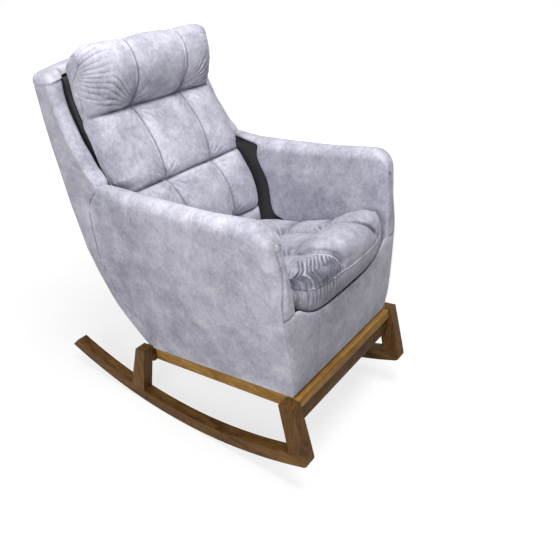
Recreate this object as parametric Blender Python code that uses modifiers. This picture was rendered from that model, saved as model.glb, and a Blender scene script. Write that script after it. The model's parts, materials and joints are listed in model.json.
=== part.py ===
"""Upholstered rocking chair, built as separate pieces in metres with +Z up.

Two frames are used. The contact frame stands on the floor with its origin where the rockers touch it;
the rockers and the posts are drawn there. The seat frame is the same frame tipped back by REST_TILT,
which levels the rails, arms and seat of the unloaded chair; everything upholstered is drawn there.
In both, -Y is the front and the object is symmetric about X = 0.
"""
import math

import bmesh
import bpy
from mathutils import Matrix, Vector

# ---------------------------------------------------------------- driving dimensions
GAP = 0.0003                     # clearance between touching pieces
CLEAR = 0.0009                   # clearance between covers and what they wrap
SEAM_CLEAR = 0.002               # clearance along the curved side seam
REST_TILT = math.radians(8.5)    # how far the unloaded chair leans back

# rockers
ROCKER_RADIUS = 1.349            # outer edge of the arc
ROCKER_DEPTH = 0.0415            # height of the bar
TIMBER = 0.037                   # thickness of rockers and posts
BASE_HALF_WIDTH = 0.290          # centre line to the outer face of a rocker
ROCKER_REAR_ANGLE = 0.346
ROCKER_REAR_CUT = 0.015          # slant of the rear end, as an angle
ROCKER_FRONT_ANGLE = 0.388       # where the tread meets the nose
NOSE_RADIUS = 0.020
TREAD_STEP = 0.045               # length of one flat of the tread

# posts
FRONT_FOOT_REACH = 0.500         # contact line to the middle of the foot
FRONT_FOOT_DEPTH = 0.052
FRONT_POST_Y = -0.501            # middle of its top, in the seat frame
FRONT_POST_DEPTH = 0.0455
REAR_FOOT_REACH = 0.133
REAR_FOOT_DEPTH = 0.055
REAR_POST_Y = 0.056
REAR_POST_DEPTH = 0.040
POST_CHAMFER = 0.002
REAR_POST_RISE = 0.012           # rear post above the rails' top

# rails, in the seat frame
RAIL_TOP = 0.221
SIDE_RAIL_HEIGHT = 0.055
SIDE_RAIL_THICK = 0.030
SIDE_RAIL_INSET = 0.016          # side rail's outer face inside the posts' inner faces
FRONT_LIP_HEIGHT = 0.031
FRONT_LIP_DEPTH = 0.036
FRONT_LIP_SETBACK = 0.006        # behind the face of the posts
CROSS_RAIL_THICK = 0.024
FRONT_CROSS_SETBACK = 0.016
FRONT_CROSS_HEIGHT = 0.052
REAR_CROSS_HEIGHT = 0.054
CORNER_BLOCK = 0.055
DOWEL_RADIUS = 0.005
DOWEL_LENGTH = 0.050
BOLT_RADIUS = 0.003
BOLT_HEAD_RADIUS = 0.0065
BOLT_HEAD = 0.004

# shell, in the seat frame
SHELL_LIFT = 0.0008              # lowest edge of the upholstery above the rails
SHELL_INSET = 0.040              # that edge inside the rockers' outer faces
FLARE = 0.1415                   # growth of the half width per metre of height
FLARE_TOP = 0.700                # the flare ends here
BACK_WIDENING = 0.048            # half width at the rear beyond the shell's lowest edge
BACK_TAPER = 0.035               # loss of half width per metre above the flare
SKIN = 0.012                     # cover with its foam
FRONT_PROFILE = ((0.22, -0.503), (0.30, -0.520), (0.45, -0.534), (0.60, -0.540), (0.80, -0.534))
REAR_PROFILE = ((0.22, 0.083), (0.29, 0.125), (0.36, 0.160), (0.44, 0.178), (0.64, 0.198),
                (0.86, 0.221), (1.10, 0.229))
ARM_TOP_PROFILE = ((-0.55, 0.731), (-0.32, 0.733), (-0.16, 0.746), (0.02, 0.762))
SEAM_PROFILE = ((0.22, -0.020), (0.30, 0.050), (0.39, 0.102), (0.51, 0.115), (0.64, 0.106),
                (0.70, 0.089), (0.731, 0.064))
WING_PROFILE = ((0.764, 0.008), (0.79, 0.040), (0.841, 0.073), (0.90, 0.101), (0.95, 0.116),
                (1.00, 0.121), (1.10, 0.113))
ARM_THICK = 0.062                # at the top of the arm
ARM_THIN = 0.051                 # at the seat
ARM_SIDE_SHARE = 0.5             # share of the arm cover's rows on its outer side
ARM_ROLL_SHARE = 0.9             # and up to the end of its roll
BAND_DEPTH = 0.012
BAND_FOOT = 0.4765               # seam between the apron and the front band of an arm
ARM_PAD_REAR = -0.090
ARM_PAD_TOP = 0.688              # seam between the pad and the cover of the arm
REAR_CORNER = 0.045
REAR_CORNER_RUN = 0.060          # the side strip's width across the back
WING_THICK = 0.047               # across the wing's front edge
WING_FACE_BASE = 0.690           # the wing's facing closes the end of the arm from here up
LINING = 0.004
LINING_RUN = 0.010               # the wing's lining goes on behind the inner back
CAP_THICK = 0.020
CAP_ROUND = 0.007
CAP_WING_COLUMNS = (0.0, 0.012, 0.028)    # the cap's columns over a wing, from its outer edge
CAP_COLUMNS = (0.16, 0.08)       # and over the cushion, from the centre line
CROWN_HEIGHT = 1.082             # top of the back at the centre line
CROWN_DROP = 0.40                # fall of the crown per metre squared

# seat and back
APRON_TOP = 0.420
DECK_THICK = 0.020
INNER_BACK_FOOT = (0.0, 0.45)    # y and z of a point on the front of the inner back
INNER_BACK_SLOPE = 0.233         # y per z
INNER_BACK_THICK = 0.015
INNER_BACK_UNDER_CAP = 0.0059    # its top below the underside of the cap

# frame inside the upholstery
FRAME_BOARD = 0.022
FRAME_SIDE_INSET = 0.052         # seat box boards' inner faces inside the shell's lowest edge
ARM_BOARD = 0.010
ARM_BOARD_REAR = 0.008
ARM_BOARD_TOP = 0.650
BACK_POST_WIDTH = 0.030
BACK_POST_DEPTH = 0.025
BACK_POST_INSET = 0.030          # its middle inside the shell's lowest edge
BACK_POST_UNDER_CAP = 0.0099
BACK_RAIL_HEIGHT = 0.050
LOWER_RAIL_Z = 0.470
WING_BOARD = 0.012
WING_BOARD_SETBACK = 1.25        # its front edge behind the wing's face, in thicknesses of the cover
BACK_BOARD = 0.009
BOARD_FOOT = 0.018               # lower edge of the boards above the shell's lower edge
WEB_THICK = 0.002
WEB_WIDTH = 0.060
WEB_COUNT = 4
WEB_PITCH = 0.100
BOLT_PLACES = (("front", -0.40), ("rear", -0.05))
BOLT_GRIP = 0.030                # length of a bolt inside the seat box's board
DUST_COVER = 0.0010

# loose cushions
CUSHION_INSET = 0.024            # sides of both cushions inside the shell's lowest edge
CUSHION_REST = 0.0015            # seat cushion above the deck
SEAT_CUSHION_FRONT = -0.545
SEAT_CUSHION_REAR = -0.092
SEAT_CUSHION_TOP = 0.574
SEAT_CUSHION_REAR_TOP = 0.556
SEAT_CUSHION_CROWN = 0.012       # rise of its front third
SEAT_CUSHION_OVERHANG = 0.040    # height at which it reaches out over the apron
SEAT_CUSHION_ROUND = 0.020
BACK_CUSHION_ROUND = 0.016
LUMBAR_PROFILE = ((0.60, -0.0914), (0.64, -0.0905), (0.76, -0.058), (0.90, -0.002))
HEAD_ROLL = ((0.015, -0.147), (0.0, -0.122), (-0.020, -0.052), (-0.015, 0.003), (0.02, 0.030),
             (0.075, 0.030))         # y, and height above the crown
HEAD_ROLL_REAR = ((0.010, 0.013), (0.0006, -0.022))    # ahead of the inner back, and above the crown
NECK_STEP = 0.035                # from the top of the lumbar profile up to the head roll

# ---------------------------------------------------------------- what follows from them
ROCKER_TOP_RADIUS = ROCKER_RADIUS - ROCKER_DEPTH
SHELL_BASE = RAIL_TOP + SHELL_LIFT
SHELL_HALF_WIDTH = BASE_HALF_WIDTH - SHELL_INSET
BACK_HALF_WIDTH = SHELL_HALF_WIDTH + BACK_WIDENING
FRAME_SIDE_INNER = SHELL_HALF_WIDTH - FRAME_SIDE_INSET
BACK_POST_X = SHELL_HALF_WIDTH - BACK_POST_INSET
CUSHION_HALF = SHELL_HALF_WIDTH - CUSHION_INSET
CAP_UNDERSIDE = CROWN_HEIGHT - CROWN_DROP * (BACK_POST_X + BACK_POST_WIDTH / 2)**2 - CAP_THICK
BACK_POST_TOP = CAP_UNDERSIDE - BACK_POST_UNDER_CAP
INNER_BACK_TOP = CAP_UNDERSIDE - INNER_BACK_UNDER_CAP
CUSHION_BOTTOM = APRON_TOP + CUSHION_REST
ARM_SHOULDER = ARM_TOP_PROFILE[-1][1] - ARM_THICK / 2
POST_INNER = BASE_HALF_WIDTH - TIMBER
RAIL_OUTER = POST_INNER - SIDE_RAIL_INSET
RAIL_INNER = RAIL_OUTER - SIDE_RAIL_THICK
SIDES = (("right", -1), ("left", 1))


def seat_to_contact(y, z):
    """Turn a seat-frame point of the side view into the contact frame."""
    return (y * math.cos(REST_TILT) + z * math.sin(REST_TILT),
            z * math.cos(REST_TILT) - y * math.sin(REST_TILT))


def through(points, value, run_on=False):
    """Read a smooth curve through points of (parameter, result) at one parameter.

    Before its first point the curve keeps its result or, with run_on, its slope.
    """
    if value <= points[0][0]:
        slope = (points[1][1] - points[0][1]) / (points[1][0] - points[0][0])
        return points[0][1] + (slope * (value - points[0][0]) if run_on else 0.0)
    if value >= points[-1][0]:
        return points[-1][1]
    i = max(k for k in range(len(points) - 1) if points[k][0] <= value)
    (p0, r0), (p1, r1) = points[i], points[i + 1]
    before = points[max(i - 1, 0)]
    after = points[min(i + 2, len(points) - 1)]
    slope0 = (r1 - before[1]) / (p1 - before[0])
    slope1 = (after[1] - r0) / (after[0] - p0)
    span = p1 - p0
    t = (value - p0) / span
    return ((2 * t**3 - 3 * t**2 + 1) * r0 + (t**3 - 2 * t**2 + t) * slope0 * span
            + (3 * t**2 - 2 * t**3) * r1 + (t**3 - t**2) * slope1 * span)


def mix(a, b, t):
    """Blend two numbers."""
    return a + (b - a) * t


def front_y(z):
    """Front face of the upholstery at a height."""
    return through(FRONT_PROFILE, z, run_on=True)


def rear_y(z):
    """Rear face of the upholstery at a height."""
    return through(REAR_PROFILE, z, run_on=True)


def strip_front(z):
    """Front edge of the side strip: the side seam below the arm top, the wing's edge above it."""
    if z < ARM_SHOULDER + 1.5 * SEAM_CLEAR:
        return through(SEAM_PROFILE, z, run_on=True)
    return through(WING_PROFILE, z)


def half_width(y, z):
    """Outer half width of the shell."""
    side = SHELL_HALF_WIDTH + FLARE * (min(z, FLARE_TOP) - SHELL_BASE)
    spare = max(side - BACK_HALF_WIDTH, 0.0)
    run = (y - front_y(z)) / (rear_y(z) - front_y(z))
    return side - spare * min(max(run, 0.0), 1.0) - BACK_TAPER * max(z - FLARE_TOP, 0.0)


def arm_thickness(z):
    """Thickness of the arm from its outer to its inner face."""
    return mix(ARM_THIN, ARM_THICK, (z - APRON_TOP) / (FLARE_TOP - APRON_TOP))


def crown(x):
    """Top of the back at a distance from the centre line."""
    return CROWN_HEIGHT - CROWN_DROP * x * x


def back_level(spread, v):
    """Height of a row of the outer back; spread runs from -1 to 1 across it."""
    return mix(SHELL_BASE, crown(spread * BACK_HALF_WIDTH) - CAP_THICK - CLEAR, v)


def inner_back_y(z):
    """Front face of the inner back at a height."""
    return INNER_BACK_FOOT[0] + (z - INNER_BACK_FOOT[1]) * INNER_BACK_SLOPE


# ---------------------------------------------------------------- tools
def clear_scene():
    """Remove what is in the file."""
    for obj in list(bpy.data.objects):
        bpy.data.objects.remove(obj, do_unlink=True)


def new_collection(name):
    """Make a collection in the scene."""
    collection = bpy.data.collections.new(name)
    bpy.context.scene.collection.children.link(collection)
    return collection


def material(name, colour, roughness, metallic=0.0):
    """Make a Principled material."""
    made = bpy.data.materials.new(name)
    made.use_nodes = True
    shader = made.node_tree.nodes["Principled BSDF"]
    shader.inputs["Base Color"].default_value = (*colour, 1.0)
    shader.inputs["Roughness"].default_value = roughness
    shader.inputs["Metallic"].default_value = metallic
    return made


def add_object(name, mesh, finish, frame):
    """Put a mesh into the chair's collection under one of its frames."""
    obj = bpy.data.objects.new(name, mesh)
    CHAIR.objects.link(obj)
    obj.parent = frame
    finish_own = finish.copy()
    finish_own.name = name + "_finish"
    mesh.materials.clear()
    mesh.materials.append(finish_own)
    return obj


def mesh_from(builder, name):
    """Turn a bmesh into a mesh."""
    mesh = bpy.data.meshes.new(name)
    builder.to_mesh(mesh)
    builder.free()
    return mesh


def bevel(obj, width, segments=1):
    """Ease the sharp edges of a piece."""
    modifier = obj.modifiers.new("eased_edges", "BEVEL")
    modifier.width = width
    modifier.segments = segments
    modifier.limit_method = "ANGLE"
    modifier.angle_limit = math.radians(35)


def box(name, finish, frame, x_range, y_range, z_range, ease=0.0):
    """Make a block between six planes."""
    builder = bmesh.new()
    bmesh.ops.create_cube(builder, size=1.0)
    size = [high - low for low, high in (x_range, y_range, z_range)]
    middle = Vector([(low + high) / 2 for low, high in (x_range, y_range, z_range)])
    bmesh.ops.scale(builder, vec=size, verts=builder.verts)
    obj = add_object(name, mesh_from(builder, name), finish, frame)
    obj.location = middle
    if ease:
        bevel(obj, ease)
    return obj


def mirrored(side, low, high):
    """Order an X range for one side of the chair."""
    return (low, high) if side > 0 else (-high, -low)


def plate(name, finish, frame, outline, x_middle, thickness, ease=0.0):
    """Cut a board from an outline in the side view (y, z) and give it a thickness along X."""
    curve = bpy.data.curves.new(name, "CURVE")
    curve.dimensions = "2D"
    curve.fill_mode = "BOTH"
    curve.extrude = thickness / 2
    spline = curve.splines.new("POLY")
    spline.points.add(len(outline) - 1)
    for point, (y, z) in zip(spline.points, outline):
        point.co = (y, z, 0.0, 1.0)
    spline.use_cyclic_u = True
    guide = bpy.data.objects.new(name + "_outline", curve)
    CHAIR.objects.link(guide)
    bpy.context.view_layer.update()
    shape = guide.evaluated_get(bpy.context.evaluated_depsgraph_get())
    mesh = bpy.data.meshes.new_from_object(shape)
    bpy.data.objects.remove(guide, do_unlink=True)
    builder = bmesh.new()
    builder.from_mesh(mesh)
    bmesh.ops.remove_doubles(builder, verts=builder.verts, dist=0.00001)
    bmesh.ops.recalc_face_normals(builder, faces=builder.faces)
    builder.to_mesh(mesh)
    builder.free()
    mesh.name = name
    obj = add_object(name, mesh, finish, frame)
    obj.matrix_basis = Matrix.Translation((x_middle, 0, 0)) @ Matrix(
        ((0, 0, 1, 0), (1, 0, 0, 0), (0, 1, 0, 0), (0, 0, 0, 1)))
    if ease:
        bevel(obj, ease)
    return obj


def sheet(name, finish, frame, columns, rows, place, thickness, flip=False, even=True):
    """Bend a grid with place(u, v), both 0 to 1, and thicken it behind its face.

    A grid with a step in its edge is thickened with even=False, which draws no spike there.
    """
    builder = bmesh.new()
    bmesh.ops.create_grid(builder, x_segments=columns, y_segments=rows, size=0.5)
    for vertex in builder.verts:
        vertex.co = place(vertex.co.x + 0.5, vertex.co.y + 0.5)
    if flip:
        bmesh.ops.reverse_faces(builder, faces=builder.faces)
    obj = add_object(name, mesh_from(builder, name), finish, frame)
    wall = obj.modifiers.new("wall", "SOLIDIFY")
    wall.thickness = thickness
    wall.offset = -1.0
    wall.use_even_offset = even
    obj.data.shade_smooth()
    obj.data.set_sharp_from_angle(angle=math.radians(40))
    return obj


def cylinder(name, finish, frame, radius, length, middle, turn, sides=12):
    """Make a round pin."""
    builder = bmesh.new()
    bmesh.ops.create_cone(builder, cap_ends=True, segments=sides, radius1=radius, radius2=radius,
                          depth=length)
    obj = add_object(name, mesh_from(builder, name), finish, frame)
    obj.location = middle
    obj.rotation_euler = turn
    return obj


def bore(target, radius, length, middle, turn, frame):
    """Cut a round hole."""
    builder = bmesh.new()
    bmesh.ops.create_cone(builder, cap_ends=True, segments=12, radius1=radius, radius2=radius,
                          depth=length)
    cutter = bpy.data.objects.new(target.name + "_bore", mesh_from(builder, target.name + "_bore"))
    CUTTERS.objects.link(cutter)
    cutter.parent = frame
    cutter.location = middle
    cutter.rotation_euler = turn
    cutter.hide_render = True
    cutter.display_type = "WIRE"
    cut = target.modifiers.new("bore", "BOOLEAN")
    cut.object = cutter
    cut.operation = "DIFFERENCE"
    cut.solver = "EXACT"


# ---------------------------------------------------------------- base
def arc_point(radius, angle):
    """Point of the side view on an arc about the rocker's centre; positive angles go to the rear."""
    return (radius * math.sin(angle), ROCKER_RADIUS - radius * math.cos(angle))


def tread_angles(start, stop):
    """Angles of the arc's corners, with one flat centred on the contact line."""
    step = TREAD_STEP / ROCKER_RADIUS
    low, high = min(start, stop), max(start, stop)
    corners = [(k + 0.5) * step for k in range(-60, 60)]
    angles = [low] + [angle for angle in corners if low + step / 4 < angle < high - step / 4] + [high]
    return angles if start < stop else angles[::-1]


def front_foot_angles():
    """Angles of the rear and front corners of the front post's foot."""
    return tuple(-math.asin((FRONT_FOOT_REACH + s * FRONT_FOOT_DEPTH / 2) / ROCKER_TOP_RADIUS)
                 for s in (-1, 1))


def front_post_outline():
    """Front post in the side view of the contact frame."""
    rear, front = front_foot_angles()
    foot_radius = ROCKER_TOP_RADIUS - GAP
    foot = [arc_point(foot_radius, mix(rear, front, t)) for t in (0.0, 0.5, 1.0)]
    top_front = seat_to_contact(FRONT_POST_Y - FRONT_POST_DEPTH / 2, RAIL_TOP)
    top_rear = seat_to_contact(FRONT_POST_Y + FRONT_POST_DEPTH / 2, RAIL_TOP)
    return foot + [top_front, top_rear]


def rear_post_outline():
    """Rear post in the side view of the contact frame."""
    angles = [math.asin((REAR_FOOT_REACH + s * REAR_FOOT_DEPTH / 2) / ROCKER_TOP_RADIUS) for s in (-1, 0, 1)]
    foot = [arc_point(ROCKER_TOP_RADIUS - GAP, angle) for angle in angles]
    top_z = RAIL_TOP + REAR_POST_RISE
    top_rear = seat_to_contact(REAR_POST_Y + REAR_POST_DEPTH / 2, top_z)
    top_front = seat_to_contact(REAR_POST_Y - REAR_POST_DEPTH / 2, top_z)
    return foot + [top_rear, top_front]


def rocker_outline():
    """Rocker in the side view: tread, round nose, end in line with the post's face, upper edge."""
    widen = 1 / math.cos(TREAD_STEP / ROCKER_RADIUS / 2)
    tread_range = tread_angles(ROCKER_REAR_ANGLE, -ROCKER_FRONT_ANGLE)
    tread = [arc_point(ROCKER_RADIUS * widen, angle) for angle in tread_range]
    front_angle = front_foot_angles()[1]
    end_top = Vector(arc_point(ROCKER_TOP_RADIUS, front_angle))
    post_top = Vector(seat_to_contact(FRONT_POST_Y - FRONT_POST_DEPTH / 2, RAIL_TOP))
    down = (end_top - post_top).normalized()
    nose_end = Vector(tread[-1])
    reach = (nose_end - end_top).dot(down)
    end_low = end_top + down * (reach - NOSE_RADIUS)
    corner = end_top + down * reach
    nose = []
    for t in (0.75, 0.5, 0.25, 0.0):
        nose.append(end_low * (1 - t)**2 + corner * 2 * t * (1 - t) + nose_end * t * t)
    upper_angles = tread_angles(front_angle, ROCKER_REAR_ANGLE - ROCKER_REAR_CUT)
    upper = [arc_point(ROCKER_TOP_RADIUS * widen, a) for a in upper_angles[1:]]
    return tread + [tuple(p) for p in nose] + [tuple(end_top)] + upper


def dowel_place(foot_reach, side):
    """Middle and turn of the dowel that joins a post's foot to its rocker."""
    angle = math.asin(foot_reach / ROCKER_TOP_RADIUS)
    y, z = arc_point(ROCKER_TOP_RADIUS, angle)
    return (side * (BASE_HALF_WIDTH - TIMBER / 2), y, z), (angle, 0.0, 0.0)


def build_base():
    """Rockers, posts and their dowels."""
    for label, side in SIDES:
        middle = side * (BASE_HALF_WIDTH - TIMBER / 2)
        rocker = plate("rocker_" + label, WALNUT, CONTACT, rocker_outline(), middle, TIMBER, POST_CHAMFER)
        feet = (("front", -FRONT_FOOT_REACH, front_post_outline()),
                ("rear", REAR_FOOT_REACH, rear_post_outline()))
        for place, reach, outline in feet:
            post = plate(f"{place}_post_{label}", WALNUT, CONTACT, outline, middle, TIMBER, POST_CHAMFER)
            spot, turn = dowel_place(reach, side)
            for piece in (rocker, post):
                bore(piece, DOWEL_RADIUS + GAP, DOWEL_LENGTH + 2 * GAP, spot, turn, CONTACT)
            cylinder(f"{place}_dowel_{label}", BEECH, CONTACT, DOWEL_RADIUS, DOWEL_LENGTH, spot, turn)


def build_rails():
    """Rails and corner blocks between the posts."""
    post_face = FRONT_POST_Y - FRONT_POST_DEPTH / 2
    span = POST_INNER - GAP
    lip_front = post_face + FRONT_LIP_SETBACK
    lip_rear = lip_front + FRONT_LIP_DEPTH
    box("front_seat_rail", OAK, SEAT, (-span, span), (lip_front, lip_rear),
        (RAIL_TOP - FRONT_LIP_HEIGHT, RAIL_TOP), POST_CHAMFER)
    cross_front = post_face + FRONT_CROSS_SETBACK
    cross_top = RAIL_TOP - FRONT_LIP_HEIGHT - GAP
    box("front_cross_rail", WALNUT, SEAT, (-span, span), (cross_front, cross_front + CROSS_RAIL_THICK),
        (cross_top - FRONT_CROSS_HEIGHT, cross_top), POST_CHAMFER)
    rear_face = REAR_POST_Y + REAR_POST_DEPTH / 2
    rear_front = rear_face - CROSS_RAIL_THICK
    box("rear_cross_rail", WALNUT, SEAT, (-span, span), (rear_front, rear_face),
        (RAIL_TOP - REAR_CROSS_HEIGHT, RAIL_TOP), POST_CHAMFER)
    rail_range = (lip_rear + GAP, rear_front - GAP)
    block_top = RAIL_TOP - GAP
    block_low = RAIL_TOP - SIDE_RAIL_HEIGHT + FRONT_LIP_HEIGHT / 2
    for label, side in SIDES:
        box("side_rail_" + label, OAK, SEAT, mirrored(side, RAIL_INNER, RAIL_OUTER), rail_range,
            (RAIL_TOP - SIDE_RAIL_HEIGHT, RAIL_TOP), POST_CHAMFER)
        for place, y, step in (("front", rail_range[0], 1), ("rear", rail_range[1], -1)):
            corner_block(f"corner_block_{place}_{label}", side, y, step, (block_low, block_top))


def corner_block(name, side, y, step, z_range):
    """Make a three-cornered block in the angle of a side rail and a cross rail."""
    curve_points = ((RAIL_INNER - GAP, y + GAP * step), (RAIL_INNER - GAP, y + CORNER_BLOCK * step),
                    (RAIL_INNER - CORNER_BLOCK, y + GAP * step))
    builder = bmesh.new()
    corners = [builder.verts.new((side * x, depth, z_range[0])) for x, depth in curve_points]
    face = builder.faces.new(corners)
    raised = bmesh.ops.extrude_face_region(builder, geom=[face])
    top = [item for item in raised["geom"] if isinstance(item, bmesh.types.BMVert)]
    bmesh.ops.translate(builder, vec=(0, 0, z_range[1] - z_range[0]), verts=top)
    bmesh.ops.recalc_face_normals(builder, faces=builder.faces)
    add_object(name, mesh_from(builder, name), BEECH, SEAT)


# ---------------------------------------------------------------- frame inside the shell
def frame_range():
    """Front and rear planes of the seat box."""
    front = front_y(SHELL_BASE) + SKIN + 2 * GAP
    high = APRON_TOP - DECK_THICK
    return front, inner_back_y(high) + INNER_BACK_THICK + BACK_POST_DEPTH


def build_seat_box():
    """Boards of the seat box, its webbing and its dust cover."""
    front, rear = frame_range()
    low = RAIL_TOP + DUST_COVER + 2 * GAP
    high = APRON_TOP - DECK_THICK - WEB_THICK - 2 * GAP
    side_outer = FRAME_SIDE_INNER + FRAME_BOARD
    box("dust_cover", BLACK_CLOTH, SEAT, (-side_outer, side_outer), (front, rear),
        (RAIL_TOP + GAP, RAIL_TOP + GAP + DUST_COVER))
    box("seat_frame_front", BEECH, SEAT, (-side_outer, side_outer), (front, front + FRAME_BOARD), (low, high))
    box("seat_frame_rear", BEECH, SEAT, (-side_outer, side_outer), (rear - FRAME_BOARD, rear), (low, high))
    inner_range = (front + FRAME_BOARD + GAP, rear - FRAME_BOARD - GAP)
    for label, side in SIDES:
        board = box("seat_frame_" + label, BEECH, SEAT, mirrored(side, FRAME_SIDE_INNER, side_outer),
                    inner_range, (low, high))
        for place, y in BOLT_PLACES:
            frame_bolt(f"frame_bolt_{place}_{label}", board, side, y, low)
    for number in range(WEB_COUNT):
        middle = (number - (WEB_COUNT - 1) / 2) * WEB_PITCH
        box(f"seat_webbing_{number + 1}", WEBBING, SEAT, (middle - WEB_WIDTH / 2, middle + WEB_WIDTH / 2),
            (front, rear), (high + GAP, high + GAP + WEB_THICK))


def frame_bolt(name, board, side, y, low):
    """Bolt a seat box board down to the side rail, with its head under the rail."""
    x = side * (RAIL_INNER + FRAME_SIDE_INNER + FRAME_BOARD) / 2
    head_low = RAIL_TOP - SIDE_RAIL_HEIGHT - BOLT_HEAD - GAP
    tip = low + BOLT_GRIP
    shank_low = head_low + BOLT_HEAD
    rail = bpy.data.objects["side_rail_" + ("left" if side > 0 else "right")]
    builder = bmesh.new()
    profile = ((0.0, head_low), (BOLT_HEAD_RADIUS, head_low), (BOLT_HEAD_RADIUS, shank_low),
               (BOLT_RADIUS, shank_low), (BOLT_RADIUS, tip), (0.0, tip))
    points = [builder.verts.new((r, 0.0, z)) for r, z in profile]
    for first, second in zip(points, points[1:]):
        builder.edges.new((first, second))
    bmesh.ops.spin(builder, geom=builder.verts[:] + builder.edges[:], cent=(0, 0, 0), axis=(0, 0, 1),
                   angle=math.tau, steps=12, use_merge=True)
    bmesh.ops.remove_doubles(builder, verts=builder.verts, dist=0.00001)
    bmesh.ops.recalc_face_normals(builder, faces=builder.faces)
    bolt = add_object(name, mesh_from(builder, name), STEEL, SEAT)
    bolt.location = (x, y, 0.0)
    length = tip - head_low
    for piece in (board, rail, bpy.data.objects["dust_cover"]):
        bore(piece, BOLT_RADIUS + GAP, length, (x, y, shank_low + length / 2), (0, 0, 0), SEAT)


def build_arm_and_back_frame():
    """Boards of the arms, wings and back, the back's uprights and their rails."""
    for label, side in SIDES:
        def arm_board(u, v, side=side):
            z = mix(RAIL_TOP + 2 * GAP, ARM_BOARD_TOP, v)
            start = front_y(z) + BAND_DEPTH + CLEAR
            y = mix(start, ARM_BOARD_REAR, u)
            return Vector((side * (half_width(y, z) - SKIN - CLEAR), y, z))
        sheet("arm_frame_" + label, BEECH, SEAT, 3, 4, arm_board, ARM_BOARD, flip=side < 0)

        def wing_board(u, v, side=side):
            z = mix(SHELL_BASE + BOARD_FOOT, BACK_POST_TOP - BOARD_FOOT, v)
            y = mix(behind_wing(z), rear_y(z) - REAR_CORNER, u)
            return Vector((side * (half_width(y, z) - SKIN * 1.05 - CLEAR), y, z))
        sheet("wing_board_" + label, BEECH, SEAT, 3, 14, wing_board, WING_BOARD, flip=side < 0)
        x_range = mirrored(side, BACK_POST_X - BACK_POST_WIDTH / 2, BACK_POST_X + BACK_POST_WIDTH / 2)
        leaning_board("back_post_" + label, BEECH, x_range, APRON_TOP - DECK_THICK, BACK_POST_TOP,
                      INNER_BACK_THICK + GAP, BACK_POST_DEPTH)
    rail_span = BACK_POST_X - BACK_POST_WIDTH / 2 - GAP
    rail_heights = (("back_top_rail", BACK_POST_TOP - BACK_RAIL_HEIGHT / 2), ("back_lower_rail", LOWER_RAIL_Z))
    for name, z in rail_heights:
        leaning_board(name, BEECH, (-rail_span, rail_span), z - BACK_RAIL_HEIGHT / 2,
                      z + BACK_RAIL_HEIGHT / 2, INNER_BACK_THICK + GAP, BACK_POST_DEPTH)

    def back_sheet(u, v):
        z = back_level(2 * u - 1, v)
        edge = half_width(rear_y(z) - REAR_CORNER, z) - REAR_CORNER_RUN - SKIN
        slope = (rear_y(z + 0.005) - rear_y(z - 0.005)) / 0.010
        return Vector(((2 * u - 1) * edge, rear_y(z) - (SKIN + CLEAR) * math.hypot(1, slope), z))
    sheet("back_board", BEECH, SEAT, 8, 16, back_sheet, BACK_BOARD, flip=True)


def leaning_board(name, finish, x_range, z_low, z_high, behind, thickness):
    """Lay a flat piece parallel to the inner back, a distance behind its face."""
    outline = []
    for z, depth in ((z_low, 0.0), (z_high, 0.0), (z_high, thickness), (z_low, thickness)):
        outline.append((inner_back_y(z) + behind + depth, z))
    return plate(name, finish, SEAT, outline, sum(x_range) / 2, x_range[1] - x_range[0])


# ---------------------------------------------------------------- upholstery
def arm_section(y, v):
    """Point of the arm's outer cover: up the outside, over the roll and down to the pad's seam."""
    radius = ARM_THICK / 2
    centre_z = through(ARM_TOP_PROFILE, y) - radius
    if v <= ARM_SIDE_SHARE:
        z = mix(SHELL_BASE, centre_z, v / ARM_SIDE_SHARE)
        return half_width(y, z), z
    centre_x = half_width(y, centre_z) - radius
    if v <= ARM_ROLL_SHARE:
        angle = max(math.pi * (v - ARM_SIDE_SHARE - 0.05) / (ARM_ROLL_SHARE - ARM_SIDE_SHARE - 0.05), 0.03)
        return centre_x + radius * math.cos(angle), centre_z + radius * math.sin(angle)
    return centre_x - radius, mix(centre_z, ARM_PAD_TOP + CLEAR, (v - ARM_ROLL_SHARE) / (1 - ARM_ROLL_SHARE))


def arm_rear(v):
    """Rear edge of the arm's cover: along the side seam, then square across the roll."""
    if v > ARM_SIDE_SHARE:
        return WING_PROFILE[0][1] - 2 * SEAM_CLEAR
    y = WING_PROFILE[0][1]
    for _ in range(12):
        y = mix(y, strip_front(arm_section(y, v)[1]) - SEAM_CLEAR, 0.5)
    return y


def build_arms():
    """Side panels, front bands and inner pads of the arms."""
    for label, side in SIDES:
        def outer(u, v, side=side):
            y = mix(front_y(arm_section(front_y(FLARE_TOP), v)[1]) + BAND_DEPTH + CLEAR, arm_rear(v), u)
            x, z = arm_section(y, v)
            return Vector((side * x, y, z))
        sheet("side_panel_" + label, VELVET, SEAT, 10, 20, outer, SKIN, flip=side < 0, even=False)

        def pad(u, v, side=side):
            z = mix(APRON_TOP - DECK_THICK, ARM_PAD_TOP, v)
            start = front_y(z) + BAND_DEPTH + CLEAR
            y = mix(start, ARM_PAD_REAR, u)
            return Vector((side * (half_width(y, z) - arm_thickness(z)), y, z))
        sheet("arm_pad_" + label, VELVET, SEAT, 5, 5, pad, SKIN, flip=side > 0)
        arm_band("arm_front_band_" + label, side)


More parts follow.
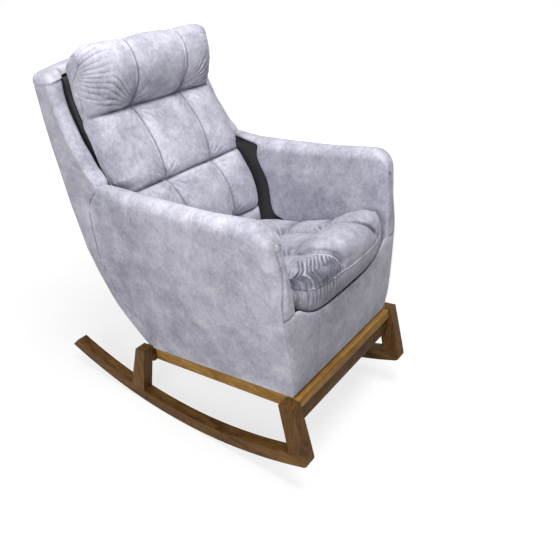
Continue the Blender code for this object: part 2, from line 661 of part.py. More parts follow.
def arm_band(name, side):
    """Front face of an arm: rows across the arm, closed by its round top."""
    y_top = front_y(FLARE_TOP)
    radius = ARM_THICK / 2
    centre_z = through(ARM_TOP_PROFILE, y_top) - radius

    def place(u, v):
        if v < 0.6:
            z = mix(BAND_FOOT + CLEAR, centre_z, v / 0.6)
            outer = half_width(front_y(z), z)
            return Vector((side * mix(outer - max(arm_thickness(z), ARM_THIN), outer, u), front_y(z), z))
        lift = (v - 0.6) / 0.4 * 0.94
        z = centre_z + radius * lift
        half_chord = radius * math.sqrt(1 - lift * lift)
        centre_x = half_width(y_top, centre_z) - radius
        return Vector((side * (centre_x + half_chord * (2 * u - 1)), front_y(z), z))
    sheet(name, VELVET, SEAT, 3, 14, place, BAND_DEPTH, flip=side < 0)


def strip_section(z, u):
    """Point of the side strip's plan: the side, the round rear corner, a run of the back."""
    front, rear = strip_front(z), rear_y(z)
    side_end = rear - REAR_CORNER
    if u <= 0.35:
        y = mix(front, side_end, u / 0.35)
        return half_width(y, z), y
    if u <= 0.80:
        angle = math.pi / 2 * (u - 0.35) / 0.45
        centre_x = half_width(side_end, z) - REAR_CORNER
        return centre_x + REAR_CORNER * math.cos(angle), side_end + REAR_CORNER * math.sin(angle)
    x_edge = half_width(side_end, z)
    return mix(x_edge - REAR_CORNER, x_edge - REAR_CORNER_RUN, (u - 0.80) / 0.20), rear


def strip_levels():
    """Heights of the side strip's rows, closer together where the seam turns into the wing."""
    top = crown(half_width(rear_y(CROWN_HEIGHT), CROWN_HEIGHT)) - CAP_THICK - CLEAR
    low = [mix(SHELL_BASE, 0.64, k / 8) for k in range(9)]
    turn = [mix(0.64, ARM_SHOULDER, k / 5) for k in range(1, 6)] + [ARM_SHOULDER + SEAM_CLEAR]
    wing = [mix(ARM_SHOULDER + 2 * SEAM_CLEAR, top, k / 9) for k in range(10)]
    return low + turn + wing


def wing_front(z):
    """Front edge of the wing, carried straight down below the arm top."""
    return through(WING_PROFILE, z)


def behind_wing(z):
    """Where the wing's board and lining start, clear of its facing's rear side."""
    slope = (wing_front(z + 0.005) - wing_front(z - 0.005)) / 0.010
    return wing_front(z) + SKIN * WING_BOARD_SETBACK * math.hypot(1, slope) + CLEAR


def build_back():
    """Side strips, wings, outer back, cap and inner back."""
    levels = strip_levels()
    last = len(levels) - 1
    span = BACK_POST_X + BACK_POST_WIDTH / 2
    for label, side in SIDES:
        def strip(u, v, side=side):
            z = levels[round(v * last)]
            x, y = strip_section(z, u)
            return Vector((side * x, y, z))
        sheet("side_strip_" + label, VELVET, SEAT, 20, last, strip, SKIN, flip=side < 0, even=False)

        def facing(u, v, side=side):
            z = mix(WING_FACE_BASE, levels[-1] - CLEAR, v)
            y = wing_front(z)
            reach = mix(ARM_THICK, WING_THICK, min(max((z - 0.74) / 0.06, 0.0), 1.0))
            outer = half_width(y, z)
            return Vector((side * mix(outer - reach, outer - SKIN - CLEAR, u), y, z))
        sheet("wing_facing_" + label, VELVET, SEAT, 2, 9, facing, SKIN, flip=side < 0)

        def lining(u, v, side=side):
            z = mix(WING_PROFILE[1][0], levels[-1] - LINING, v)
            y = mix(behind_wing(z), inner_back_y(z) + INNER_BACK_THICK + LINING_RUN, u)
            return Vector((side * mix(half_width(y, z) - WING_THICK, span + CLEAR, u), y, z))
        sheet("wing_lining_" + label, BLACK_CLOTH, SEAT, 2, 9, lining, LINING, flip=side > 0)

    def outer_back(u, v):
        spread = 2 * u - 1
        z = back_level(spread, v)
        edge = half_width(rear_y(z) - REAR_CORNER, z) - REAR_CORNER_RUN - 2 * CLEAR
        return Vector((spread * edge, rear_y(z), z))
    sheet("outer_back_panel", VELVET, SEAT, 8, 16, outer_back, SKIN, flip=True)
    build_cap()
    z_low, z_high = APRON_TOP - DECK_THICK, INNER_BACK_TOP
    outline = [(inner_back_y(z) + depth, z) for z, depth in
               ((z_low, 0.0), (z_high, 0.0), (z_high, INNER_BACK_THICK), (z_low, INNER_BACK_THICK))]
    plate("inner_back_panel", BLACK_CLOTH, SEAT, outline, 0.0, 2 * span)


def build_cap():
    """Padded cap along the top of the back and over both wings."""
    wing_x = half_width(0.1, CROWN_HEIGHT) - WING_THICK
    outer_x = half_width(0.1, CROWN_HEIGHT)
    columns = [step - outer_x for step in CAP_WING_COLUMNS] + [-wing_x, -wing_x + CLEAR]
    columns += [-x for x in CAP_COLUMNS]
    columns += [0.0] + [-x for x in reversed(columns)]
    last = len(columns) - 1

    def place(u, v):
        x = columns[round(u * last)]
        top = crown(x)
        rear = rear_y(top)
        into_corner = max(abs(x) - (outer_x - REAR_CORNER), 0.0)
        rear -= REAR_CORNER - math.sqrt(max(REAR_CORNER**2 - into_corner**2, 0.0))
        front = wing_front(top) if abs(x) > wing_x - CLEAR / 2 else inner_back_y(top) + CLEAR
        y = mix(front, rear, v)
        return Vector((x, y, top))
    bevel(sheet("back_top_cap", VELVET, SEAT, last, 4, place, CAP_THICK), CAP_ROUND, 2)


def build_seat():
    """Apron and deck."""
    columns = ((-1, 0), (-1, 1), (-1, 2), (1, 2), (1, 1), (1, 0))

    def apron(u, v):
        side, step = columns[round(u * 5)]
        top = APRON_TOP if step == 2 else BAND_FOOT
        z = mix(SHELL_BASE, top, v)
        outer = half_width(front_y(z), z)
        inward = (0.0, ARM_THIN, ARM_THIN + CLEAR)[step]
        return Vector((side * (outer - inward), front_y(z), z))
    sheet("front_apron", VELVET, SEAT, 5, 8, apron, SKIN, even=False)
    low = APRON_TOP - DECK_THICK
    arm_face = half_width(front_y(low), low) - ARM_THIN
    box("seat_deck", BLACK_CLOTH, SEAT, (-arm_face + CLEAR, arm_face - CLEAR),
        (front_y(low) + SKIN + CLEAR, inner_back_y(low) - GAP), (low, APRON_TOP))


def build_cushions():
    """Loose seat and back cushions as plain soft blocks."""
    overhang_z = CUSHION_BOTTOM + SEAT_CUSHION_OVERHANG
    under_front = front_y(APRON_TOP) + SKIN + 1.5 * SEAT_CUSHION_ROUND
    crown_y = mix(SEAT_CUSHION_FRONT, SEAT_CUSHION_REAR, 0.22)
    middle_y = mix(SEAT_CUSHION_FRONT, SEAT_CUSHION_REAR, 0.50)
    seat_outline = [(SEAT_CUSHION_REAR, CUSHION_BOTTOM), (SEAT_CUSHION_REAR, SEAT_CUSHION_REAR_TOP),
                    (middle_y, mix(SEAT_CUSHION_REAR_TOP, SEAT_CUSHION_TOP, 0.5)),
                    (crown_y, SEAT_CUSHION_TOP + SEAT_CUSHION_CROWN), (SEAT_CUSHION_FRONT, SEAT_CUSHION_TOP),
                    (SEAT_CUSHION_FRONT, overhang_z), (under_front, CUSHION_BOTTOM)]
    seat = plate("seat_cushion", VELVET, SEAT, seat_outline, 0.0, 2 * CUSHION_HALF)
    bevel(seat, SEAT_CUSHION_ROUND, 2)
    clear = 2 * GAP
    front_low = SEAT_CUSHION_REAR + clear
    outline = [(inner_back_y(CUSHION_BOTTOM) - clear, CUSHION_BOTTOM)]
    outline += [(inner_back_y(CROWN_HEIGHT + rise) - ahead, CROWN_HEIGHT + rise)
                for ahead, rise in reversed(HEAD_ROLL_REAR)]
    outline += [(y, CROWN_HEIGHT + rise) for y, rise in reversed(HEAD_ROLL)]
    neck_z = CROWN_HEIGHT + HEAD_ROLL[0][1]
    foot_z, top_z = LUMBAR_PROFILE[0][0], LUMBAR_PROFILE[-1][0]
    for z, y in reversed(LUMBAR_PROFILE):
        level = mix(foot_z, neck_z - NECK_STEP, (z - foot_z) / (top_z - foot_z))
        outline.append((max(y, front_low), level))
    outline.append((front_low, CUSHION_BOTTOM))
    back = plate("back_cushion", VELVET, SEAT, outline, 0.0, 2 * CUSHION_HALF)
    bevel(back, BACK_CUSHION_ROUND, 2)


# ---------------------------------------------------------------- assembly
def new_frame(name, parent, location, turn):
    """Make an empty that carries pieces."""
    frame = bpy.data.objects.new(name, None)
    CHAIR.objects.link(frame)
    frame.parent = parent
    frame.location = location
    frame.rotation_euler = turn
    return frame


clear_scene()
CHAIR = new_collection("rocking_chair")
CUTTERS = new_collection("cutters")
WALNUT = material("walnut_stain", (0.100, 0.052, 0.022), 0.45)
OAK = material("golden_stain", (0.300, 0.165, 0.045), 0.45)
BEECH = material("raw_beech", (0.560, 0.390, 0.230), 0.70)
VELVET = material("lavender_velvet", (0.400, 0.390, 0.450), 0.90)
BLACK_CLOTH = material("dark_lining", (0.035, 0.033, 0.036), 0.95)
WEBBING = material("webbing", (0.060, 0.060, 0.060), 0.85)
STEEL = material("zinc_steel", (0.600, 0.600, 0.590), 0.35, 1.0)

rear_reach = ROCKER_RADIUS * math.sin(ROCKER_REAR_ANGLE)
front_reach = -min(y for y, _ in rocker_outline())
CONTACT = new_frame("contact_frame", None, (0.0, (front_reach - rear_reach) / 2, 0.0), (0.0, 0.0, 0.0))
SEAT = new_frame("seat_frame", CONTACT, (0.0, 0.0, 0.0), (-REST_TILT, 0.0, 0.0))

build_base()
build_rails()
build_seat_box()
build_arm_and_back_frame()
build_arms()
build_back()
build_seat()
build_cushions()
bpy.context.view_layer.update()
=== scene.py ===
"""The upholstered rocking chair: its visible pieces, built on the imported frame.

The covers and cushions are drawn in the seat's own frame, in which the seat rails are level, and are laid
into the chair's frame when a piece is finished.
"""
import json
import logging
import math
from dataclasses import dataclass, field
from enum import Enum
from typing import Callable, Iterable, Sequence

import bmesh
import bpy
from mathutils import Matrix, Vector, noise


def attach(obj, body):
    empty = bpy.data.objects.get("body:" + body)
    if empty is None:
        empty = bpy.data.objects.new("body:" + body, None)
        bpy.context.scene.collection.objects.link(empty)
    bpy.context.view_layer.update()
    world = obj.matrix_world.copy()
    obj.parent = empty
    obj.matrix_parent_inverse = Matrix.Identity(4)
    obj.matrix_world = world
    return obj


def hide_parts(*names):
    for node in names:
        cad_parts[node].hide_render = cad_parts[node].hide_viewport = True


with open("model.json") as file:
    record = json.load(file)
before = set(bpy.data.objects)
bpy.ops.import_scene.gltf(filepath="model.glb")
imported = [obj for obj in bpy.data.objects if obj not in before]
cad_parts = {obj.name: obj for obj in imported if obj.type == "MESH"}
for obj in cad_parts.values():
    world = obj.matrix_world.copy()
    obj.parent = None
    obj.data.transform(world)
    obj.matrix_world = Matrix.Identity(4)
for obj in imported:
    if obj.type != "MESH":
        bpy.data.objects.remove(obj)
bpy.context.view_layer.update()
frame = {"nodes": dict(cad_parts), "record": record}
LOG = logging.getLogger("rocking_chair")
SIDES = (("right", -1.0), ("left", 1.0))
EDGE = 1e-5
LEAST_HOLD = 0.01
Place = Callable[[float, float], Vector]


# ---------------------------------------------------------------- small tools
def mix(a: float, b: float, t: float) -> float:
    """Blend two numbers.

    Args:
        a: Value at 0.
        b: Value at 1.
        t: Share of b.

    Returns:
        The blend.
    """
    return a + (b - a) * t


def clamp(value: float, low: float = 0.0, high: float = 1.0) -> float:
    """Keep a number between two others.

    Args:
        value: The number.
        low: Lowest result.
        high: Highest result.

    Returns:
        The number, kept in range.
    """
    return min(max(value, low), high)


def ease(t: float) -> float:
    """Turn 0 to 1 into a smooth start and stop."""
    t = clamp(t)
    return t * t * (3.0 - 2.0 * t)


def ripple(point: Vector, size: float, seed: float = 0.0) -> float:
    """Read smooth noise, about -1 to 1, whose lumps have a given size in metres.

    Args:
        point: Where to read it.
        size: Width of a lump.
        seed: Shifts the pattern.

    Returns:
        The noise there.
    """
    return noise.noise(point / size + Vector((seed, 2.3 * seed, -1.7 * seed)))


@dataclass(frozen=True)
class Profile:
    """A smooth curve through points of (parameter, result)."""

    points: tuple[tuple[float, float], ...]

    def at(self, value: float) -> float:
        """Read the curve.

        Args:
            value: The parameter.

        Returns:
            The result there.
        """
        pts = self.points
        if value <= pts[0][0]:
            return pts[0][1]
        if value >= pts[-1][0]:
            return pts[-1][1]
        i = max(k for k in range(len(pts) - 1) if pts[k][0] <= value)
        (p0, r0), (p1, r1) = pts[i], pts[i + 1]
        before, after = pts[max(i - 1, 0)], pts[min(i + 2, len(pts) - 1)]
        slope0 = (r1 - before[1]) / (p1 - before[0])
        slope1 = (after[1] - r0) / (after[0] - p0)
        span = p1 - p0
        t = (value - p0) / span
        return ((2 * t**3 - 3 * t**2 + 1) * r0 + (t**3 - 2 * t**2 + t) * slope0 * span
                + (3 * t**2 - 2 * t**3) * r1 + (t**3 - t**2) * slope1 * span)


@dataclass(frozen=True)
class Path:
    """A smooth path in the side view, read by its length; its direction is felt over a short stretch."""

    points: tuple[tuple[float, float], ...]
    feel: float = 0.002

    def _knots(self) -> list[float]:
        """Lengths along the path at its points.

        Returns:
            The lengths.
        """
        knots = [0.0]
        for (y0, z0), (y1, z1) in zip(self.points, self.points[1:]):
            knots.append(knots[-1] + math.hypot(y1 - y0, z1 - z0))
        return knots

    def length(self) -> float:
        """Full length of the path."""
        return self._knots()[-1]

    def table(self, count: int) -> list[tuple[float, float, float, float]]:
        """Sample the path evenly.

        Args:
            count: Number of steps.

        Returns:
            Rows of y, z and the unit direction's y and z.
        """
        knots = self._knots()
        y_of, z_of = (Profile(tuple(zip(knots, (point[axis] for point in self.points)))) for axis in (0, 1))
        rows = []
        for k in range(count + 1):
            s = knots[-1] * k / count
            y, z = y_of.at(s), z_of.at(s)
            low, high = max(s - self.feel, 0.0), min(s + self.feel, knots[-1])
            dy, dz = y_of.at(high) - y_of.at(low), z_of.at(high) - z_of.at(low)
            size = math.hypot(dy, dz) or 1.0
            rows.append((y, z, dy / size, dz / size))
        return rows

    def length_where(self, index: int) -> float:
        """Length at one of the path's own points."""
        return self._knots()[index]


@dataclass(frozen=True)
class SeatFrame:
    """The seat's frame: leaned back, with its origin where the rockers meet the floor."""

    tilt: float = math.radians(8.5)
    contact_y: float = 0.0

    def matrix(self) -> Matrix:
        """What lays the seat's frame into the chair's."""
        return Matrix.Translation((0.0, self.contact_y, 0.0)) @ Matrix.Rotation(-self.tilt, 4, "X")


# ---------------------------------------------------------------- finishes
class Grain(Enum):
    """Which way the grain of a timber piece runs."""

    ALONG_X = (7.0, 95.0, 95.0)
    ALONG_Y = (95.0, 7.0, 95.0)
    ALONG_Z = (95.0, 95.0, 7.0)


class NodeDesk:
    """Lays out a material's nodes."""

    def __init__(self, name: str) -> None:
        """Start a material.

        Args:
            name: Its name.
        """
        self.material = bpy.data.materials.new(name)
        self.material.use_nodes = True
        self.tree = self.material.node_tree
        self.shader = self.tree.nodes["Principled BSDF"]
        self.coords = self.tree.nodes.new("ShaderNodeTexCoord").outputs["Object"]

    def link(self, source: bpy.types.NodeSocket, target: bpy.types.NodeSocket) -> None:
        """Join two sockets."""
        self.tree.links.new(source, target)

    def mapping(self, scale: Sequence[float] = (1.0, 1.0, 1.0)) -> bpy.types.NodeSocket:
        """Stretch the object's coordinates.

        Args:
            scale: Factor on each axis.

        Returns:
            The coordinates.
        """
        node = self.tree.nodes.new("ShaderNodeMapping")
        node.inputs["Scale"].default_value = scale
        self.link(self.coords, node.inputs["Vector"])
        return node.outputs["Vector"]

    def noise(self, vector: bpy.types.NodeSocket, scale: float, detail: float, rough: float = 0.5,
              warp: float = 0.0) -> bpy.types.NodeSocket:
        """Add a noise texture.

        Args:
            vector: Its coordinates.
            scale: Its scale.
            detail: Its octaves.
            rough: Strength of the fine octaves.
            warp: Its distortion.

        Returns:
            The noise, 0 to 1.
        """
        node = self.tree.nodes.new("ShaderNodeTexNoise")
        node.inputs["Scale"].default_value = scale
        node.inputs["Detail"].default_value = detail
        node.inputs["Roughness"].default_value = rough
        node.inputs["Distortion"].default_value = warp
        self.link(vector, node.inputs["Vector"])
        return node.outputs["Fac"]

    def ramp(self, value: bpy.types.NodeSocket,
             stops: Sequence[tuple[float, Sequence[float]]]) -> bpy.types.NodeSocket:
        """Turn a value into a colour.

        Args:
            value: The value.
            stops: Position and colour of each stop.

        Returns:
            The colour.
        """
        node = self.tree.nodes.new("ShaderNodeValToRGB")
        elements = node.color_ramp.elements
        while len(elements) < len(stops):
            elements.new(0.5)
        for element, (position, colour) in zip(elements, stops):
            element.position = position
            element.color = (*colour, 1.0)
        self.link(value, node.inputs["Fac"])
        return node.outputs["Color"]

    def blend(self, first: bpy.types.NodeSocket, second: bpy.types.NodeSocket, share: float,
              mode: str = "MIX") -> bpy.types.NodeSocket:
        """Mix two colours.

        Args:
            first: The lower colour.
            second: The upper colour.
            share: Strength of the upper one.
            mode: How they are combined.

        Returns:
            The result.
        """
        node = self.tree.nodes.new("ShaderNodeMix")
        node.data_type = "RGBA"
        node.blend_type = mode
        node.inputs["Factor"].default_value = share
        self.link(first, node.inputs[6])
        self.link(second, node.inputs[7])
        return node.outputs[2]

    def weigh(self, parts: Sequence[tuple[bpy.types.NodeSocket, float]]) -> bpy.types.NodeSocket:
        """Add values up with a weight each.

        Args:
            parts: Values and weights.

        Returns:
            The sum.
        """
        total = None
        for value, weight in parts:
            node = self.tree.nodes.new("ShaderNodeMath")
            node.operation = "MULTIPLY_ADD"
            node.inputs[1].default_value = weight
            node.inputs[2].default_value = 0.0
            self.link(value, node.inputs[0])
            if total is not None:
                self.link(total, node.inputs[2])
            total = node.outputs[0]
        return total

    def attribute(self, name: str, gain: float, start: float) -> bpy.types.NodeSocket:
        """Read a vertex attribute.

        Args:
            name: Its name.
            gain: Factor on it.
            start: Value where it is 0.

        Returns:
            The scaled value.
        """
        source = self.tree.nodes.new("ShaderNodeAttribute")
        source.attribute_name = name
        node = self.tree.nodes.new("ShaderNodeMath")
        node.operation = "MULTIPLY_ADD"
        node.inputs[1].default_value = gain
        node.inputs[2].default_value = start
        self.link(source.outputs["Fac"], node.inputs[0])
        return node.outputs[0]

    def range(self, value: bpy.types.NodeSocket, low: float, high: float) -> bpy.types.NodeSocket:
        """Stretch 0 to 1 onto another range.

        Args:
            value: The value.
            low: Result at 0.
            high: Result at 1.

        Returns:
            The stretched value.
        """
        node = self.tree.nodes.new("ShaderNodeMapRange")
        node.inputs["To Min"].default_value = low
        node.inputs["To Max"].default_value = high
        self.link(value, node.inputs["Value"])
        return node.outputs["Result"]

    def bump(self, height: bpy.types.NodeSocket, depth: float, strength: float = 1.0) -> None:
        """Give the shader relief.

        Args:
            height: Height, 0 to 1.
            depth: Its full depth in metres.
            strength: Share of it that shows.
        """
        node = self.tree.nodes.new("ShaderNodeBump")
        node.inputs["Distance"].default_value = depth
        node.inputs["Strength"].default_value = strength
        self.link(height, node.inputs["Height"])
        self.link(node.outputs["Normal"], self.shader.inputs["Normal"])


@dataclass(frozen=True)
class BrushedVelvet:
    """Short-pile upholstery cloth with a cloudy, hand-brushed look, with painted shade in its hollows and a
    painted highlight on its ridges.
    """

    name: str
    slot: str = "velvet"
    dark: tuple[float, float, float] = (0.285, 0.283, 0.345)
    middle: tuple[float, float, float] = (0.460, 0.455, 0.535)
    light: tuple[float, float, float] = (0.660, 0.652, 0.725)
    # The next three colours multiply the cloth's colour by its curvature: a painted highlight on proud
    # ridges, the plain tone on flat cloth, and painted shade in hollows, creases and pleat valleys.
    painted_ridge_light: tuple[float, float, float] = (1.0, 1.0, 1.0)
    kept: tuple[float, float, float] = (0.90, 0.90, 0.90)
    deep: tuple[float, float, float] = (0.30, 0.30, 0.33)
    cloud_scale: float = 5.0
    patch_scale: float = 18.0
    nap_scale: float = 120.0
    pile_scale: float = 1400.0
    relief: float = 0.0011

    def make(self) -> bpy.types.Material:
        """Build the material.

        Returns:
            The material.
        """
        desk = NodeDesk(self.name)
        plain = desk.mapping()
        clouds = desk.noise(plain, self.cloud_scale, detail=3.0, rough=0.5, warp=0.2)
        patches = desk.noise(plain, self.patch_scale, detail=6.0, rough=0.66, warp=0.35)
        nap = desk.noise(desk.mapping((1.0, 1.0, 0.7)), self.nap_scale, detail=5.0, rough=0.72)
        pile = desk.noise(plain, self.pile_scale, detail=2.0, rough=0.6)
        tone = desk.weigh(((clouds, 0.28), (patches, 0.40), (nap, 0.32)))
        colour = desk.ramp(tone, ((0.38, self.dark), (0.50, self.middle), (0.62, self.light)))
        # Painted light: the hollow attribute darkens creases and hollows into painted shade and lightens
        # proud ridges into a painted highlight.
        hollow = desk.attribute("hollow", gain=0.5, start=0.5)
        shade = desk.ramp(hollow, ((0.40, self.painted_ridge_light), (0.51, self.kept), (0.88, self.deep)))
        desk.link(desk.blend(colour, shade, 1.0, "MULTIPLY"), desk.shader.inputs["Base Color"])
        desk.link(desk.range(patches, 0.78, 0.95), desk.shader.inputs["Roughness"])
        desk.shader.inputs["Specular IOR Level"].default_value = 0.25
        desk.shader.inputs["Sheen Weight"].default_value = 0.35
        desk.shader.inputs["Sheen Roughness"].default_value = 0.45
        desk.shader.inputs["Sheen Tint"].default_value = (0.86, 0.86, 0.93, 1.0)
        desk.bump(desk.weigh(((nap, 0.55), (pile, 0.45))), self.relief, strength=0.55)
        return desk.material


@dataclass(frozen=True)
class DarkLining:
    """Charcoal lining cloth with a fine weave; its near-black colour is partly painted shade for the dark
    gaps it fills.
    """

    name: str
    slot: str = "dark_lining"
    # Near-black: the lining's own dark colour, deepened as painted shade for the gaps inside the wings and
    # behind the arm pads.
    colour: tuple[float, float, float] = (0.026, 0.025, 0.030)
    paler: float = 1.9
    thread_scale: float = 900.0
    thread_stretch: float = 0.12
    relief: float = 0.0005

    def make(self) -> bpy.types.Material:
        """Build the material.

        Returns:
            The material.
        """
        desk = NodeDesk(self.name)
        plain, stretch = desk.mapping(), self.thread_stretch
        lighter = tuple(self.paler * c for c in self.colour)
        threads = desk.noise(desk.mapping((1.0, 1.0, stretch)), self.thread_scale, detail=2.0)
        cross = desk.noise(desk.mapping((stretch, stretch, 1.0)), self.thread_scale, detail=2.0)
        dust = desk.noise(plain, 22.0, detail=5.0, rough=0.6)
        colour = desk.ramp(desk.weigh(((dust, 0.6), (threads, 0.4))), ((0.35, self.colour), (0.68, lighter)))
        desk.link(colour, desk.shader.inputs["Base Color"])
        desk.link(desk.range(dust, 0.82, 0.98), desk.shader.inputs["Roughness"])
        desk.shader.inputs["Sheen Weight"].default_value = 0.15
        desk.bump(desk.weigh(((threads, 0.5), (cross, 0.5))), self.relief, strength=0.5)
        return desk.material


@dataclass(frozen=True)
class StainedTimber:
    """Solid timber with a stain and a thin satin lacquer."""

    name: str
    slot: str
    grain: Grain
    dark: tuple[float, float, float] = (0.035, 0.013, 0.003)
    middle: tuple[float, float, float] = (0.118, 0.054, 0.013)
    light: tuple[float, float, float] = (0.240, 0.125, 0.036)
    gloss: float = 0.03
    figure_size: float = 10.0
    relief: float = 0.0006

    def make(self) -> bpy.types.Material:
        """Build the material.

        Returns:
            The material.
        """
        desk = NodeDesk(self.name)
        along = desk.mapping(tuple(value / self.figure_size for value in self.grain.value))
        fine = desk.mapping(self.grain.value)
        plain = desk.mapping()
        figure = desk.noise(along, 3.2, detail=5.0, rough=0.6, warp=1.6)
        fibres = desk.noise(fine, 4.5, detail=4.0, rough=0.65, warp=0.4)
        wear = desk.noise(plain, 18.0, detail=5.0, rough=0.65)
        tone = desk.weigh(((figure, 0.42), (fibres, 0.36), (wear, 0.22)))
        colour = desk.ramp(tone, ((0.38, self.dark), (0.51, self.middle), (0.66, self.light)))
        desk.link(colour, desk.shader.inputs["Base Color"])
        desk.link(desk.range(fibres, 0.42, 0.68), desk.shader.inputs["Roughness"])
        desk.shader.inputs["Specular IOR Level"].default_value = 0.12
        desk.shader.inputs["Coat Weight"].default_value = self.gloss
        desk.shader.inputs["Coat Roughness"].default_value = 0.28
        desk.bump(desk.weigh(((fibres, 0.7), (figure, 0.3))), self.relief, strength=0.35)
        return desk.material


@dataclass(frozen=True)
class SewingThread:
    """Twisted thread of a seam."""

    name: str
    slot: str = "velvet"
    colour: tuple[float, float, float] = (0.46, 0.455, 0.52)
    paler: float = 1.25
    relief: float = 0.0003

    def make(self) -> bpy.types.Material:
        """Build the material.

        Returns:
            The material.
        """
        desk = NodeDesk(self.name)
        twist = desk.noise(desk.mapping(), 800.0, detail=2.0)
        lighter = tuple(min(self.paler * c, 1.0) for c in self.colour)
        desk.link(desk.ramp(twist, ((0.35, self.colour), (0.65, lighter))), desk.shader.inputs["Base Color"])
        desk.link(desk.range(twist, 0.5, 0.7), desk.shader.inputs["Roughness"])
        desk.bump(twist, self.relief, strength=0.5)
        return desk.material


@dataclass(frozen=True)
class ZincSteel:
    """Zinc-plated steel of the bolts."""

    name: str
    slot: str = "zinc"
    dull: tuple[float, float, float] = (0.48, 0.48, 0.47)
    bright: tuple[float, float, float] = (0.66, 0.66, 0.65)
    relief: float = 0.0002

    def make(self) -> bpy.types.Material:
        """Build the material.

        Returns:
            The material.
        """
        desk = NodeDesk(self.name)
        spangle = desk.noise(desk.mapping(), 240.0, detail=3.0)
        colour = desk.ramp(spangle, ((0.3, self.dull), (0.7, self.bright)))
        desk.link(colour, desk.shader.inputs["Base Color"])
        desk.link(desk.range(spangle, 0.28, 0.45), desk.shader.inputs["Roughness"])
        desk.shader.inputs["Metallic"].default_value = 1.0
        desk.bump(spangle, self.relief, strength=0.3)
        return desk.material


# ---------------------------------------------------------------- making pieces
@dataclass
class Workshop:
    """Puts finished pieces into the scene."""

    seat: SeatFrame
    materials: dict[str, bpy.types.Material] = field(default_factory=dict)

    def material(self, finish: object) -> bpy.types.Material:
        """Make a finish's material once.

        Args:
            finish: The finish.

        Returns:
            Its material.
        """
        if finish.name not in self.materials:
            self.materials[finish.name] = finish.make()
        return self.materials[finish.name]

    def put(self, name: str, builder: bmesh.types.BMesh, finish: object, body: str = "chair",
            stands_for: Iterable[str] = (), in_seat: bool = True, wall: float = 0.0, sharp: float = 45.0,
            fill: float | None = None, palest: float = -1.0) -> bpy.types.Object:
        """Turn a bmesh into a finished piece.

        Args:
            name: Name of the piece.
            builder: Its mesh.
            finish: Its finish.
            body: The body it rides on.
            stands_for: Frame nodes that it replaces.
            in_seat: Whether it is drawn in the seat's frame.
            wall: Thickness to give behind an open surface.
            sharp: Edges steeper than this stay sharp, in degrees.
            fill: Not used.
            palest: How far its proud edges may take the painted highlight, -1 fully and 0 not at all.

        Returns:
            The piece.
        """
        if in_seat:
            bmesh.ops.transform(builder, matrix=self.seat.matrix(), verts=builder.verts)
        if wall:
            add_wall(builder, wall)
        mesh = bpy.data.meshes.new(name)
        builder.to_mesh(mesh)
        builder.free()
        mesh.shade_smooth()
        mark_hollows(mesh, palest)
        mesh.set_sharp_from_angle(angle=math.radians(sharp))
        mesh.materials.append(self.material(finish))
        piece = bpy.data.objects.new(name, mesh)
        bpy.context.scene.collection.objects.link(piece)
        if stands_for:
            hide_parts(*stands_for)
        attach(piece, body)
        LOG.info("%s: %d faces", name, len(mesh.polygons))
        return piece

    def dress(self, node: str, finish: object) -> None:
        """Give a frame node that stays in view its finish.

        Args:
            node: The node.
            finish: Its finish.
        """
        piece = frame["nodes"][node]
        piece.data.materials.clear()
        piece.data.materials.append(self.material(finish))


HOLLOW_GAIN = 0.016
HOLLOW_PASSES = 2


def mark_hollows(mesh: bpy.types.Mesh, palest: float) -> None:
    """Record how hollow the surface is at each vertex, from which the velvet paints shade into hollows and a
    highlight onto proud ridges.

    Args:
        mesh: The mesh, in metres.
        palest: Lowest value that is kept.
    """
    builder = bmesh.new()
    builder.from_mesh(mesh)
    builder.normal_update()
    hollow = {}
    for vertex in builder.verts:
        near = [edge.other_vert(vertex).co for edge in vertex.link_edges]
        middle = sum(near, Vector()) / len(near)
        size = sum((point - vertex.co).length for point in near) / len(near)
        bend = (middle - vertex.co).dot(vertex.normal) / max(size * size, 1e-9)
        hollow[vertex.index] = clamp(HOLLOW_GAIN * bend, palest, 1.0)
    for _ in range(HOLLOW_PASSES):
        spread = dict(hollow)
        for vertex in builder.verts:
            near = [hollow[edge.other_vert(vertex).index] for edge in vertex.link_edges]
            spread[vertex.index] = 0.5 * hollow[vertex.index] + 0.5 * sum(near) / len(near)
        hollow = spread
    builder.free()
    layer = mesh.attributes.new("hollow", "FLOAT", "POINT")
    layer.data.foreach_set("value", [hollow[k] for k in range(len(mesh.vertices))])


def add_wall(builder: bmesh.types.BMesh, thickness: float) -> None:
    """Thicken an open surface behind its face.

    Args:
        builder: The surface.
        thickness: How thick it becomes.
    """
    builder.normal_update()
    region = bmesh.ops.extrude_face_region(builder, geom=builder.faces[:], use_keep_orig=True)
    for item in region["geom"]:
        if isinstance(item, bmesh.types.BMVert):
            item.co -= item.normal * thickness
    bmesh.ops.recalc_face_normals(builder, faces=builder.faces[:])


SEWN = Profile(((0.0, 1.0), (1.0, 1.0)))
HALF_SEWN = Profile(((0.0, 0.5), (1.0, 0.5)))
LOOSE = Profile(((0.0, 0.0), (1.0, 0.0)))


